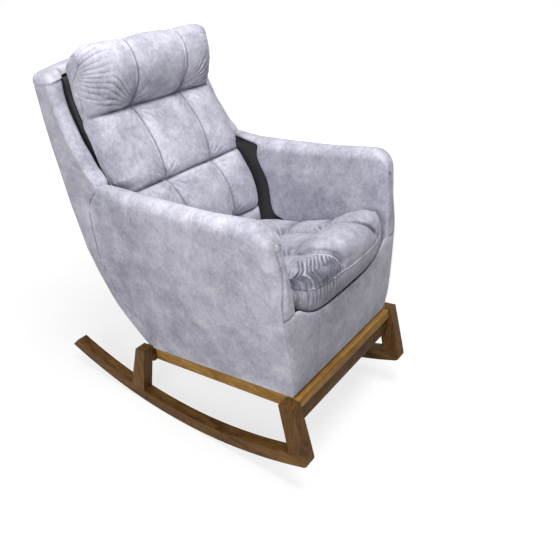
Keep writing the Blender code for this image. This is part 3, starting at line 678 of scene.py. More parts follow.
@dataclass
class SewnPanel:
    """A piece of padded cover, cut along its edges and pulled in where it is sewn."""

    columns: int
    rows: int
    place: Place
    mirrored: bool = False
    groove: float = 0.0025
    groove_width: float = 0.007
    tuck: float = 0.004
    tuck_width: float = 0.0018
    sewn: tuple[Profile, Profile, Profile, Profile] = (SEWN, SEWN, SEWN, SEWN)
    softness: float = 0.0012
    soft_from: float = 0.015
    lump: float = 0.110
    dent: float = 0.045
    pucker: float = 0.0010
    pucker_size: float = 0.013
    pucker_reach: float = 2.6
    seed: float = 0.0
    crease: Callable[[Vector], float] = lambda point: 0.0

    def build(self) -> bmesh.types.BMesh:
        """Bend a grid into the panel.

        Returns:
            Its open surface.
        """
        builder = bmesh.new()
        bmesh.ops.create_grid(builder, x_segments=self.columns, y_segments=self.rows, size=0.5)
        spots = {}
        for vertex in builder.verts:
            u, v = round(vertex.co.x + 0.5, 6), round(vertex.co.y + 0.5, 6)
            spots[vertex] = (u, v)
            vertex.co = self.place(u, v)
        if self.mirrored:
            bmesh.ops.reverse_faces(builder, faces=builder.faces[:])
        builder.normal_update()
        rims = [{spot[1 - axis]: vert.co.copy() for vert, spot in spots.items()
                 if abs(spot[axis] - end) < EDGE} for axis, end in ((0, 0.0), (0, 1.0), (1, 0.0), (1, 1.0))]
        moves = []
        for vertex, (u, v) in spots.items():
            shares = (v, v, u, u)
            edges = [rim[share] for rim, share in zip(rims, shares)]
            push = self._softness(vertex.co, edges) - self.crease(vertex.co)
            for sewn, edge, share in zip(self.sewn, edges, shares):
                hold = sewn.at(share)
                if hold >= LEAST_HOLD:
                    push -= hold * self._pull(vertex.co, edge)
            moves.append((vertex, vertex.normal * push))
        for vertex, move in moves:
            vertex.co += move
        return builder

    def _softness(self, point: Vector, edges: Sequence[Vector]) -> float:
        """How far the padding lifts a point; it leaves the edges alone.

        Args:
            point: The point.
            edges: The edge beside it on each side.

        Returns:
            The lift in metres.
        """
        free = min((point - edge).length for edge in edges)
        lumps = ripple(point, self.lump, self.seed) + 0.5 * ripple(point, self.dent, self.seed + 4)
        return self.softness * ease(free / self.soft_from) * lumps

    def _pull(self, point: Vector, edge: Vector) -> float:
        """How far a sewn edge pulls a point in, with its puckers.

        Args:
            point: The point.
            edge: The edge beside it.

        Returns:
            The depth in metres.
        """
        gap = (point - edge).length
        near = math.exp(-(gap / self.groove_width) ** 2)
        reach = math.exp(-gap / (self.pucker_reach * self.groove_width))
        puckers = self.pucker * reach * (1 - near) * ripple(edge, self.pucker_size, self.seed + 9)
        return self.groove * near + self.tuck * math.exp(-gap / self.tuck_width) - puckers


def thread_tube(path: Sequence[Vector], radius: float, closed: bool = False, sides: int = 8,
                flat: float = 1.0) -> bmesh.types.BMesh:
    """Make a round cord along a path.

    Args:
        path: Points along its middle.
        radius: Its radius.
        closed: Whether it ends where it starts.
        sides: Sides of its section.
        flat: Height of its section as a share of its width.

    Returns:
        The cord, with closed ends.
    """
    builder = bmesh.new()
    rings = []
    count = len(path)
    side = None
    for k, point in enumerate(path):
        ahead = path[(k + 1) % count] if closed else path[min(k + 1, count - 1)]
        behind = path[k - 1] if closed else path[max(k - 1, 0)]
        along = (ahead - behind).normalized()
        if side is None:
            side = along.orthogonal().normalized()
        side = (side - along * side.dot(along)).normalized()
        up = along.cross(side)
        ring = bmesh.ops.create_circle(builder, segments=sides, radius=radius)["verts"]
        for n, vertex in enumerate(ring):
            angle = math.tau * n / sides
            vertex.co = point + side * (radius * math.cos(angle)) + up * (radius * flat * math.sin(angle))
        rings.append([e for e in {e for vert in ring for e in vert.link_edges}])
    pairs = list(zip(rings, rings[1:])) + ([(rings[-1], rings[0])] if closed else [])
    for first, second in pairs:
        bmesh.ops.bridge_loops(builder, edges=first + second)
    if not closed:
        bmesh.ops.holes_fill(builder, edges=[e for e in builder.edges if e.is_boundary], sides=sides)
    bmesh.ops.recalc_face_normals(builder, faces=builder.faces[:])
    return builder


def stitch_row(path: Sequence[Vector], pitch: float = 0.0055, length: float = 0.0040,
               radius: float = 0.0006) -> bmesh.types.BMesh:
    """Lay a row of stitches along a path.

    Args:
        path: Points on the cloth.
        pitch: Distance from stitch to stitch.
        length: Length of a stitch.
        radius: Its radius.

    Returns:
        All stitches as one mesh.
    """
    builder = bmesh.new()
    travelled, next_at = 0.0, pitch
    for start, end in zip(path, path[1:]):
        step = (end - start).length
        while next_at < travelled + step:
            middle = start.lerp(end, (next_at - travelled) / step)
            turn = (end - start).to_track_quat("Z", "Y").to_matrix().to_4x4()
            shape = Matrix.Diagonal((radius, radius, length / 2, 1.0))
            bmesh.ops.create_uvsphere(builder, u_segments=6, v_segments=4, radius=1.0,
                                      matrix=Matrix.Translation(middle) @ turn @ shape)
            next_at += pitch
        travelled += step
    return builder


# ---------------------------------------------------------------- the shell's form
@dataclass(frozen=True)
class ShellForm:
    """Outline of the upholstered shell in the seat's frame."""

    base: float = 0.2218
    base_half_width: float = 0.250
    flare: float = 0.1415
    flare_top: float = 0.700
    back_half_width: float = 0.298
    back_taper: float = 0.035
    front: Profile = Profile(((0.22, -0.503), (0.30, -0.520), (0.45, -0.534), (0.60, -0.540), (0.80, -0.534)))
    rear: Profile = Profile(((0.22, 0.083), (0.29, 0.125), (0.36, 0.160), (0.44, 0.178), (0.64, 0.198),
                             (0.86, 0.221), (1.10, 0.229)))
    arm_top: Profile = Profile(((-0.545, 0.726), (-0.50, 0.731), (-0.32, 0.734), (-0.16, 0.746),
                                (-0.05, 0.755), (0.03, 0.764)))
    seam: Profile = Profile(((0.22, -0.020), (0.30, 0.050), (0.39, 0.102), (0.51, 0.116), (0.60, 0.110),
                             (0.65, 0.104), (0.697, 0.091), (0.72, 0.076), (0.738, 0.056), (0.756, 0.030)))
    wing: Profile = Profile(((0.756, 0.014), (0.782, 0.035), (0.808, 0.056), (0.841, 0.073), (0.874, 0.091),
                             (0.907, 0.103), (0.94, 0.114), (0.972, 0.120), (1.004, 0.121), (1.035, 0.117),
                             (1.10, 0.105)))
    wing_foot: float = 0.722
    wing_run: float = 0.016
    flap_slope: float = 0.25
    arm_thick: float = 0.062
    arm_thin: float = 0.051
    apron_top: float = 0.420
    crown_height: float = 1.082
    crown_drop: float = 0.40
    rear_corner: float = 0.045
    rear_run: float = 0.060
    cap_side: float = 0.020

    def half_width(self, y: float, z: float) -> float:
        """Outer half width at a place on the side.

        Args:
            y: Place along the side.
            z: Its height.

        Returns:
            The half width.
        """
        side = self.base_half_width + self.flare * (min(z, self.flare_top) - self.base)
        spare = max(side - self.back_half_width, 0.0)
        run = (y - self.front.at(z)) / (self.rear.at(z) - self.front.at(z))
        return side - spare * clamp(run) - self.back_taper * max(z - self.flare_top, 0.0)

    def arm_thickness(self, z: float) -> float:
        """Thickness of the arm at a height."""
        share = (z - self.apron_top) / (self.flare_top - self.apron_top)
        return mix(self.arm_thin, self.arm_thick, clamp(share))

    def crown(self, x: float) -> float:
        """Top of the back at a distance from the middle."""
        return self.crown_height - self.crown_drop * x * x

    def strip_front(self, z: float) -> float:
        """Front edge of the side strip: the side seam, then a flap under the arm's cover, then the wing."""
        flap = self.wing.at(z) - self.flap_slope * max(self.wing.points[0][0] - z, 0.0)
        return mix(self.seam.at(z), flap, ease((z - self.wing_foot) / self.wing_run))

    def under_arm(self, y: float, z: float) -> float:
        """How deep a place on the side lies under the arm's cover, or less than 0 by its distance from it.

        Args:
            y: Place along the side.
            z: Its height.

        Returns:
            The depth.
        """
        behind, above = y - self.seam.at(z), z - self.arm_top.at(y)
        if behind < 0.0 and above < 0.0:
            return min(-behind, -above)
        return -math.hypot(max(behind, 0.0), max(above, 0.0))


# ---------------------------------------------------------------- arms
ARM_REAR_EDGE = Profile(((0.405, -0.175), (0.48, -0.168), (0.507, -0.115), (0.615, -0.100), (0.69, -0.072),
                         (0.735, -0.080), (0.758, -0.060)))


@dataclass(frozen=True)
class ArmCrease:
    """The fold that runs back from the top of an arm's band and dies out."""

    level: float = 0.70
    start: float = 0.010
    begin: float = 0.012
    lead: float = 0.008
    run: float = 0.075
    inset: float = 0.031
    depth: float = 0.0024
    width: float = 0.005


@dataclass
class Arm:
    """One arm: the cover that wraps it, its front band and its seams."""

    shop: Workshop
    form: ShellForm
    label: str
    side: float
    outer_share: float = 0.54
    roll_share: float = 0.655
    front_share: float = 0.16
    front_plane: float = -0.5
    foot_round: float = 0.004
    outer_round: float = 0.036
    inner_round: float = 0.011
    top_round: float = 0.052
    top_fullness: float = 0.7
    round_run: float = 0.14
    sink_from: float = 0.56
    sink_power: float = 1.6
    square_from: float = -0.09
    square_run: float = 0.12
    square_share: float = 0.92
    under_wing: float = 0.045
    inner_foot_drop: float = 0.012
    rear_guess: float = -0.05
    rear_steps: int = 10
    rear_gain: float = 0.6
    softness: float = 0.0012
    cover_wall: float = 0.004
    seam_hold: float = 0.8
    seam_top_hold: float = 0.25
    band_foot: float = 0.478
    band_reach: float = 0.995
    band_taper: float = 1.3
    band_crown: float = 0.05
    band_tuck: float = 0.0012
    band_wall: float = 0.005
    band_knots: int = 20
    crease: ArmCrease = ArmCrease()
    seam_points: int = 140
    first_row: float = 0.0095
    second_row: float = 0.0150
    thread_sink: float = 0.0004
    fill: float = 0.9

    def centre_height(self, y: float) -> float:
        """Height of the middle of the arm's roll."""
        return self.form.arm_top.at(y) - self.form.arm_thick / 2

    def section(self, y: float, v: float) -> tuple[float, float]:
        """Walk the arm's section from its outer foot over the top to its inner foot.

        Args:
            y: Place along the arm.
            v: Share of the way.

        Returns:
            x and z.
        """
        form = self.form
        radius = form.arm_thick / 2
        centre_z = self.centre_height(y)
        if v <= self.outer_share:
            z = mix(form.base, centre_z, v / self.outer_share)
            return form.half_width(y, z), z
        if v <= self.roll_share:
            angle = math.pi * self.roll_turn(v)
            x = form.half_width(y, centre_z) - radius + radius * math.cos(angle)
            z = centre_z + radius * math.sin(angle)
            if angle < math.pi / 2:
                squared = self.square_share * ease((y - self.square_from) / self.square_run)
                x = mix(x, form.half_width(y, z), squared)
            return x, z
        inner_foot = form.apron_top - self.inner_foot_drop
        z = mix(centre_z, inner_foot, (v - self.roll_share) / (1 - self.roll_share))
        return form.half_width(y, z) - form.arm_thickness(z), z

    def roll_turn(self, v: float) -> float:
        """How far over the roll a place of the section lies, 0 outside and 1 inside."""
        return clamp((v - self.outer_share) / (self.roll_share - self.outer_share))

    def rounding(self, v: float, z: float) -> tuple[float, float]:
        """Radius of the front corner: as a depth along the arm, and across it.

        Args:
            v: Place of the section.
            z: Its height.

        Returns:
            Depth and width.
        """
        turn = self.roll_turn(v)
        outer = mix(self.foot_round, self.outer_round, ease((z - self.band_foot) / self.round_run))
        width = mix(outer, -self.inner_round, turn)
        over_top = math.sin(math.pi * turn) ** self.top_fullness
        depth = mix(mix(outer, self.inner_round, turn), self.top_round, over_top)
        return depth, width

    def rear(self, v: float) -> float:
        """Rear end of the cover at a place of its section, found in steps, because the height follows it.

        Args:
            v: Place of the section.

        Returns:
            The end's y.
        """
        y = self.rear_guess
        turn = self.roll_turn(v)
        for _ in range(self.rear_steps):
            z = self.section(y, v)[1]
            outer = mix(self.form.seam.at(z), self.under_wing, ease(turn / 0.25))
            goal = mix(outer, ARM_REAR_EDGE.at(z), ease((turn - 0.45) / 0.45))
            y = mix(y, goal, self.rear_gain)
        return y

    def cover(self, u: float, v: float) -> Vector:
        """Point of the arm's cover.

        Args:
            u: Share of the way from the front to the rear.
            v: Share of the way round the section.

        Returns:
            The point.
        """
        z = self.section(self.front_plane, v)[1]
        front = self.form.front.at(z)
        depth, width = self.rounding(v, z)
        if u >= self.front_share:
            y = mix(front + depth, self.rear(v), (u - self.front_share) / (1 - self.front_share))
            inset = 0.0
        else:
            angle = math.pi / 2 * u / self.front_share
            y = front + depth * (1 - math.cos(angle))
            inset = 1 - math.sin(angle)
        x, z = self.section(y, v)
        height = clamp((z - self.sink_from) / (self.form.arm_top.at(y) - self.sink_from))
        sunk = self.top_round * inset * height ** self.sink_power
        return Vector((self.side * (x - width * inset), y, z - sunk))

    def build(self) -> None:
        """Make the arm's pieces."""
        panel = SewnPanel(110, 150, self.cover, mirrored=self.side < 0, seed=3.0 + self.side,
                          sewn=(self.front_seam(), SEWN, LOOSE, LOOSE), softness=self.softness,
                          crease=self._top_crease)
        self.shop.put("arm_cover_" + self.label, panel.build(), BrushedVelvet("velvet_arm_" + self.label),
                      stands_for=("side_panel_" + self.label, "arm_pad_" + self.label),
                      wall=self.cover_wall, fill=self.fill)
        self._band()
        self._stitches()

    def front_seam(self) -> Profile:
        """How firmly the band is sewn on, along the cover's section: it lets go over the arm's top.

        Returns:
            The hold, 0 to 1.
        """
        top = self.outer_share
        return Profile(((0.0, self.seam_hold), (top - 0.05, self.seam_hold), (top, self.seam_top_hold),
                        (top + 0.02, 0.0), (1.0, 0.0)))

    def _top_crease(self, point: Vector) -> float:
        """Depth of the arm's crease at a point of the cover.

        Args:
            point: The point.

        Returns:
            The depth in metres.
        """
        crease = self.crease
        start = self.form.front.at(crease.level) + crease.start
        run = clamp((point.y - start) / crease.run)
        if point.z < crease.level or run >= 1.0:
            return 0.0
        centre = self.side * (self.form.half_width(point.y, crease.level) - crease.inset)
        begin = ease((point.y - start + crease.lead) / crease.begin)
        return crease.depth * begin * (1 - run) * math.exp(-((point.x - centre) / crease.width) ** 2)

    def _band_rise(self, v: float) -> float:
        """How far up the arm's front the band is at a share of its rows, which crowd at its tip."""
        return self.band_reach * (1 - (1 - v) ** self.band_taper)

    def _band(self) -> None:
        """The narrow padded band up the arm's front, which comes to a point over the top."""
        form = self.form
        centre_z = self.centre_height(form.front.at(form.flare_top))
        outer_foot = self.outer_share * (self.band_foot - form.base) / (centre_z - form.base)
        drop = (centre_z - self.band_foot) / (centre_z - form.apron_top + self.inner_foot_drop)
        inner_foot = mix(self.roll_share, 1.0, drop)
        middle = (self.outer_share + self.roll_share) / 2

        def place(u: float, v: float) -> Vector:
            """Point of the band.

            Args:
                u: Share across.
                v: Share up.

            Returns:
                The point.
            """
            rise = self._band_rise(v)
            outer = self.cover(0.0, mix(outer_foot, middle, rise))
            inner = self.cover(0.0, mix(inner_foot, middle, rise))
            point = inner.lerp(outer, u)
            point.y -= self.band_crown * abs(outer.x - inner.x) * (1 - (2 * u - 1) ** 2) ** 2
            point.y += self.band_tuck * ease((v - 0.9) / 0.1)
            return point

        seam = self.front_seam()
        shares = [k / self.band_knots for k in range(self.band_knots + 1)]
        up_outer = Profile(tuple((v, seam.at(mix(outer_foot, middle, self._band_rise(v)))) for v in shares))
        panel = SewnPanel(24, 110, place, mirrored=self.side < 0, seed=3.0 + self.side,
                          sewn=(LOOSE, up_outer, HALF_SEWN, LOOSE), softness=self.softness)
        self.shop.put("arm_front_band_" + self.label + "_cover", panel.build(),
                      BrushedVelvet("velvet_band_" + self.label),
                      stands_for=("arm_front_band_" + self.label,), wall=self.band_wall, fill=self.fill)

    def _stitches(self) -> None:
        """Double row along the side seam and a single row beside the band."""
        rows = {"side_seam": [], "side_seam_second": [], "band_seam": []}
        inward = Vector((-self.side * self.thread_sink, 0.0, 0.0))
        for k in range(self.seam_points):
            v = mix(0.004, self.outer_share * 0.998, k / (self.seam_points - 1))
            end, before = self.cover(1.0, v), self.cover(0.985, v)
            back = (before - end).normalized()
            rows["side_seam"].append(end + back * self.first_row + inward * 2)
            rows["side_seam_second"].append(end + back * self.second_row + inward)
            rows["band_seam"].append(self.cover(0.35 * self.front_share, v) + inward)
        for name, path in rows.items():
            self.shop.put(f"stitches_{name}_{self.label}", stitch_row(path),
                          SewingThread("thread_" + self.label))


# ---------------------------------------------------------------- back
def inner_back(z: float) -> float:
    """Front of the inner back at a height: the leaning plane that the loose cushion rests on."""
    return (z - 0.45) * 0.233


def quarter_turn(value: float, start: float, end: float) -> float:
    """Angle of a quarter turn made while a value goes from start to end."""
    return math.pi / 2 * (value - start) / (end - start)


@dataclass(frozen=True)
class StripTurns:
    """Shares of the side strip's plan at which its next stretch begins."""

    inner_turn: float = 0.08
    face: float = 0.15
    outer_turn: float = 0.20
    side: float = 0.28
    rear_turn: float = 0.56
    rear: float = 0.84


@dataclass(frozen=True)
class StripPull:
    """How far the side strip is pulled in: under the arm's cover, and along the seam beside it."""

    under: float = 0.0095
    deeper: float = 0.002
    deeper_run: float = 0.01
    groove: float = 0.0035
    groove_width: float = 0.008
    tuck: float = 0.006
    tuck_width: float = 0.0018
    skin: float = 0.014
    skin_run: float = 0.010
    turn_from: float = 0.013
    turn_run: float = 0.020


@dataclass
class Back:
    """The back's covers: side strips with their wings, outer back, cap and linings."""

    shop: Workshop
    form: ShellForm
    wing_radius: float = 0.0195
    least_radius: float = 0.0003
    wing_low: float = 0.050
    wing_high: float = 0.046
    wing_grow: float = 0.020
    lip_depth: float = 0.024
    strip_rows: int = 120
    knee_below: float = 0.008
    knee_run: float = 0.085
    corner_x: float = 0.284
    corner_raise: float = 0.10
    turns: StripTurns = StripTurns()
    pull: StripPull = StripPull()
    lining_overlap: float = 0.018
    lining_behind_wing: float = 0.028
    lining_rear: float = 0.023
    lining_rear_x: float = 0.2362
    lining_inset_low: float = 0.046
    lining_inset_high: float = 0.0385
    back_corner_x: float = 0.235
    belly: float = 0.004
    cap_front: float = 0.149
    cap_level: float = 1.05
    cap_flat_x: float = 0.86
    cap_flat_y: float = 0.50

    def strip_top(self) -> float:
        """Upper edge of the side strips."""
        return self.form.crown(self.corner_x) - self.form.cap_side

    def section(self, z: float, u: float) -> tuple[float, float]:
        """Walk the strip's plan from the wing's inner edge round to the back.

        Args:
            z: Height.
            u: Share of the way.

        Returns:
            x and y.
        """
        form, turns, corner = self.form, self.turns, self.form.rear_corner
        front, rear = form.strip_front(z), form.rear.at(z)
        grow = ease((z - form.wing_foot) / self.wing_grow)
        radius = max(self.wing_radius * grow, self.least_radius)
        wing = mix(self.wing_low, self.wing_high, clamp((z - 0.80) / 0.20))
        outer = form.half_width(front, z)
        inner = outer - max(wing * grow, 2.2 * radius)
        side_end = rear - corner
        if u < turns.inner_turn:
            return inner, front + radius + mix(self.lip_depth * grow, 0.0, u / turns.inner_turn)
        if u < turns.face:
            angle = quarter_turn(u, turns.inner_turn, turns.face)
            return inner + radius * (1 - math.cos(angle)), front + radius * (1 - math.sin(angle))
        if u < turns.outer_turn:
            across = (u - turns.face) / (turns.outer_turn - turns.face)
            return mix(inner + radius, outer - radius, across), front
        if u < turns.side:
            angle = quarter_turn(u, turns.outer_turn, turns.side)
            return outer - radius * (1 - math.sin(angle)), front + radius * (1 - math.cos(angle))
        if u < turns.rear_turn:
            y = mix(front + radius, side_end, (u - turns.side) / (turns.rear_turn - turns.side))
            return form.half_width(y, z), y
        edge = form.half_width(side_end, z)
        if u < turns.rear:
            angle = quarter_turn(u, turns.rear_turn, turns.rear)
            return edge - corner + corner * math.cos(angle), side_end + corner * math.sin(angle)
        return mix(edge - corner, edge - form.rear_run, (u - turns.rear) / (1 - turns.rear)), rear

    def levels(self) -> list[float]:
        """Heights of the strip's rows, closer together at the wing's foot.

        Returns:
            The heights.
        """
        count = self.strip_rows
        foot, turn, top = self.form.base, self.form.wing_foot - self.knee_below, self.strip_top()
        knee_top = turn + self.knee_run
        low = [mix(foot, turn, k / (count // 2)) for k in range(count // 2)]
        knee = [mix(turn, knee_top, k / (count // 4)) for k in range(count // 4)]
        rest = count - len(low) - len(knee)
        return low + knee + [mix(knee_top, top, k / rest) for k in range(rest + 1)]

    def build(self) -> None:
        """Make the back's pieces."""
        for label, side in SIDES:
            self._strip(label, side)
            self._lining(label, side)
        self._outer_back()
        self._cap()

    def _strip(self, label: str, side: float) -> None:
        """Side strip with its rolled wing.

        Args:
            label: Which side.
            side: Sign of the side's x.
        """
        levels = self.levels()

        def place(u: float, v: float) -> Vector:
            """Point of the strip.

            Args:
                u: Share across.
                v: Share up.

            Returns:
                The point.
            """
            z = levels[round(v * self.strip_rows)]
            higher = self.form.crown(self.section(z, u)[0]) - self.form.crown(self.corner_x)
            z += max(higher, 0.0) * ease((z - levels[-1]) / self.corner_raise + 1)
            x, y = self.section(z, u)
            return Vector((side * x, y, z))

        panel = SewnPanel(100, self.strip_rows, place, mirrored=side < 0, seed=11.0 + side, softness=0.0016,
                          sewn=(LOOSE, SEWN, LOOSE, HALF_SEWN))
        builder = panel.build()
        self._sew_front(builder, side)
        self.shop.put("side_strip_" + label + "_cover", builder, BrushedVelvet("velvet_strip_" + label),
                      stands_for=("side_strip_" + label, "wing_facing_" + label), wall=0.007, fill=0.85)

    def _sew_front(self, builder: bmesh.types.BMesh, side: float) -> None:
        """Pull the strip in along the side seam and under the arm's cover.

        Args:
            builder: The strip.
            side: Sign of the side's x.
        """
        builder.normal_update()
        pull = self.pull
        inward = Vector((-side, 0.0, 0.0))
        moves = []
        for vertex in builder.verts:
            x, y, z = vertex.co
            depth = self.form.under_arm(y, z)
            if depth > 0.0:
                amount = pull.under + pull.deeper * ease(depth / pull.deeper_run)
            else:
                amount = (pull.groove * math.exp(-(depth / pull.groove_width) ** 2)
                          + pull.tuck * math.exp(depth / pull.tuck_width))
            outside = ease((abs(x) - self.form.half_width(y, z) + pull.skin) / pull.skin_run)
            above = ease((z - self.form.wing_foot - pull.turn_from) / pull.turn_run)
            moves.append((vertex, (inward * outside).lerp(-vertex.normal, above) * amount))
        for vertex, move in moves:
            vertex.co += move

    def _lining(self, label: str, side: float) -> None:
        """Dark lining on the inner side, behind the arm pad and inside the wing; its near-black colour is
        partly painted shade for the gap there.

        Args:
            label: Which side.
            side: Sign of the side's x.
        """
        form = self.form

        def place(u: float, v: float) -> Vector:
            """Point of the lining.

            Args:
                u: Share across.
                v: Share up.

            Returns:
                The point.
            """
            z = mix(form.apron_top, self.strip_top(), v) + 0.004
            under_arm = ARM_REAR_EDGE.at(z) - self.lining_overlap
            start = mix(under_arm, form.wing.at(z) + self.lining_behind_wing, ease((z - 0.728) / 0.02))
            y = mix(start, inner_back(z) + self.lining_rear, u)
            inset = mix(self.lining_inset_low, self.lining_inset_high, ease((z - form.flare_top) / 0.08))
            x = form.half_width(y, z) - inset
            return Vector((side * mix(x, self.lining_rear_x, ease((u - 0.4) / 0.6)), y, z))

        panel = SewnPanel(20, 60, place, mirrored=side > 0, seed=2.0, softness=0.0008,
                          sewn=(LOOSE, LOOSE, LOOSE, LOOSE))
        self.shop.put("wing_lining_" + label + "_cloth", panel.build(), DarkLining("lining_" + label),
                      stands_for=("wing_lining_" + label,), wall=0.003)

    def _outer_back(self) -> None:
        """The plain panel across the back."""
        form = self.form

        def place(u: float, v: float) -> Vector:
            """Point of the outer back.

            Args:
                u: Share across.
                v: Share up.

            Returns:
                The point.
            """
            spread = 2 * u - 1
            z = mix(form.base, form.crown(spread * self.back_corner_x) - form.cap_side, v)
            edge = form.half_width(form.rear.at(z) - form.rear_corner, z) - form.rear_run
            belly = self.belly * (1 - spread**4) * math.sin(math.pi * v)
            return Vector((spread * edge, form.rear.at(z) + belly, z))

        panel = SewnPanel(90, 150, place, mirrored=True, seed=17.0, softness=0.0014)
        self.shop.put("outer_back_cover", panel.build(), BrushedVelvet("velvet_outer_back"),
                      stands_for=("outer_back_panel",), wall=0.008, fill=0.7)

    def _cap_edges(self, x: float, outer: float) -> tuple[float, float]:
        """Front and rear of the cap's flat top.

        Args:
            x: Distance from the middle.
            outer: Half width of the cap.

        Returns:
            y of the front, which steps forwards over the wing, and of the rear, which is round at the corner.
        """
        form, radius = self.form, self.form.cap_side
        over_wing = ease((abs(x) - 0.225) / 0.03)
        front = mix(self.cap_front, form.wing.at(self.cap_level), over_wing) + radius
        corner = max(abs(x) - (outer - form.rear_corner), 0.0)
        cut = form.rear_corner - math.sqrt(max(form.rear_corner**2 - corner**2, 0.0))
        return front, form.rear.at(self.cap_level) - radius - cut

    def _cap(self) -> None:
        """Padded cap over the top of the back."""
        form, radius = self.form, self.form.cap_side
        outer = form.half_width(0.12, form.crown_height - 0.03)

        def place(u: float, v: float) -> Vector:
            """Point of the cap.

            Args:
                u: Share across.
                v: Share from the front to the rear.

            Returns:
                The point.
            """
            across, along = 2 * u - 1, 2 * v - 1
            flat_x = min(abs(across), self.cap_flat_x)
            edge_x = (abs(across) - flat_x) / (1 - self.cap_flat_x)
            edge_y = max(abs(along) - self.cap_flat_y, 0.0) / (1 - self.cap_flat_y)
            over = math.hypot(edge_x, edge_y)
            turn = math.pi / 2 * min(over, 1.0)
            reach = radius * math.sin(turn) / max(over, 1e-6)
            drop = radius * (1 - math.cos(turn)) + 0.003 * max(over - 1.0, 0.0) / max(over, 1.0)
            x = math.copysign(flat_x / self.cap_flat_x * (outer - radius) + edge_x * reach, across)
            front, rear = self._cap_edges(x, outer)
            y = mix(front, rear, clamp(along + 0.5)) + math.copysign(edge_y * reach, along)
            return Vector((x, y, form.crown(x) - drop))

        panel = SewnPanel(150, 44, place, seed=23.0, softness=0.0016, sewn=(LOOSE, LOOSE, LOOSE, LOOSE))
        self.shop.put("back_top_cap_cover", panel.build(), BrushedVelvet("velvet_cap"),
                      stands_for=("back_top_cap",), wall=0.006, fill=0.8)


# ---------------------------------------------------------------- apron
@dataclass
class Apron:
    """The front panel under the seat cushion, with a horn up each arm."""

    shop: Workshop
    form: ShellForm
    horn_top: float = 0.4765
    horn_run: float = 0.018
    horn_lead: float = 0.016
    dip: float = 0.424
    dip_rise: float = 0.058
    dip_width: float = 0.220
    edge_level: float = 0.45
    belly: float = 0.004

    def build(self) -> None:
        """Make the apron."""
        form = self.form
        outer = form.half_width(form.front.at(self.edge_level), self.edge_level)
        inner = outer - form.arm_thin

        def place(u: float, v: float) -> Vector:
            """Point of the apron.

            Args:
                u: Share across.
                v: Share up.

            Returns:
                The point.
            """
            spread = 2 * u - 1
            rough = abs(spread) * outer
            sweep = self.dip + self.dip_rise * (rough / self.dip_width) ** 4
            horn = ease((rough - inner + self.horn_lead) / self.horn_run)
            z = mix(form.base, mix(min(sweep, self.horn_top), self.horn_top, horn), v)
            x = spread * form.half_width(form.front.at(z), z)
            belly = self.belly * (1 - spread**6) * math.sin(math.pi * clamp(v * 1.05))
            return Vector((x, form.front.at(z) - belly, z))

        panel = SewnPanel(140, 60, place, seed=29.0, softness=0.0015, sewn=(SEWN, SEWN, SEWN, HALF_SEWN))
        self.shop.put("front_apron_cover", panel.build(), BrushedVelvet("velvet_apron"),
                      stands_for=("front_apron",), wall=0.008, fill=0.8)


# ---------------------------------------------------------------- cushions
def block_lattice(columns: int, rows: int, layers: int) -> tuple[bmesh.types.BMesh, dict]:
    """Make a closed block of even squares whose corners still know where they belong.

    Args:
        columns: Squares across.
        rows: Squares along.
        layers: Squares through the thickness.

    Returns:
        The block and, for each vertex, its place (u, v, w) from 0 to 1.
    """
    builder = bmesh.new()
    bmesh.ops.create_grid(builder, x_segments=columns, y_segments=rows, size=0.5)
    region = bmesh.ops.extrude_face_region(builder, geom=builder.faces[:], use_keep_orig=True)
    moved = [item for item in region["geom"] if isinstance(item, bmesh.types.BMVert)]
    bmesh.ops.translate(builder, vec=(0.0, 0.0, -1.0), verts=moved)
    uprights = [e for e in builder.edges if abs(e.verts[0].co.z - e.verts[1].co.z) > 0.5]
    bmesh.ops.subdivide_edges(builder, edges=uprights, cuts=layers - 1, use_grid_fill=True)
    bmesh.ops.recalc_face_normals(builder, faces=builder.faces[:])
    spots = {vert: (vert.co.x + 0.5, vert.co.y + 0.5, -vert.co.z) for vert in builder.verts}
    return builder, spots


def sharp_pleat(t: float) -> float:
    """Section of a row of pleats: round backs between narrow valleys, 0 in the valley and 1 on the back."""
    return abs(math.sin(math.pi * t)) ** 0.55


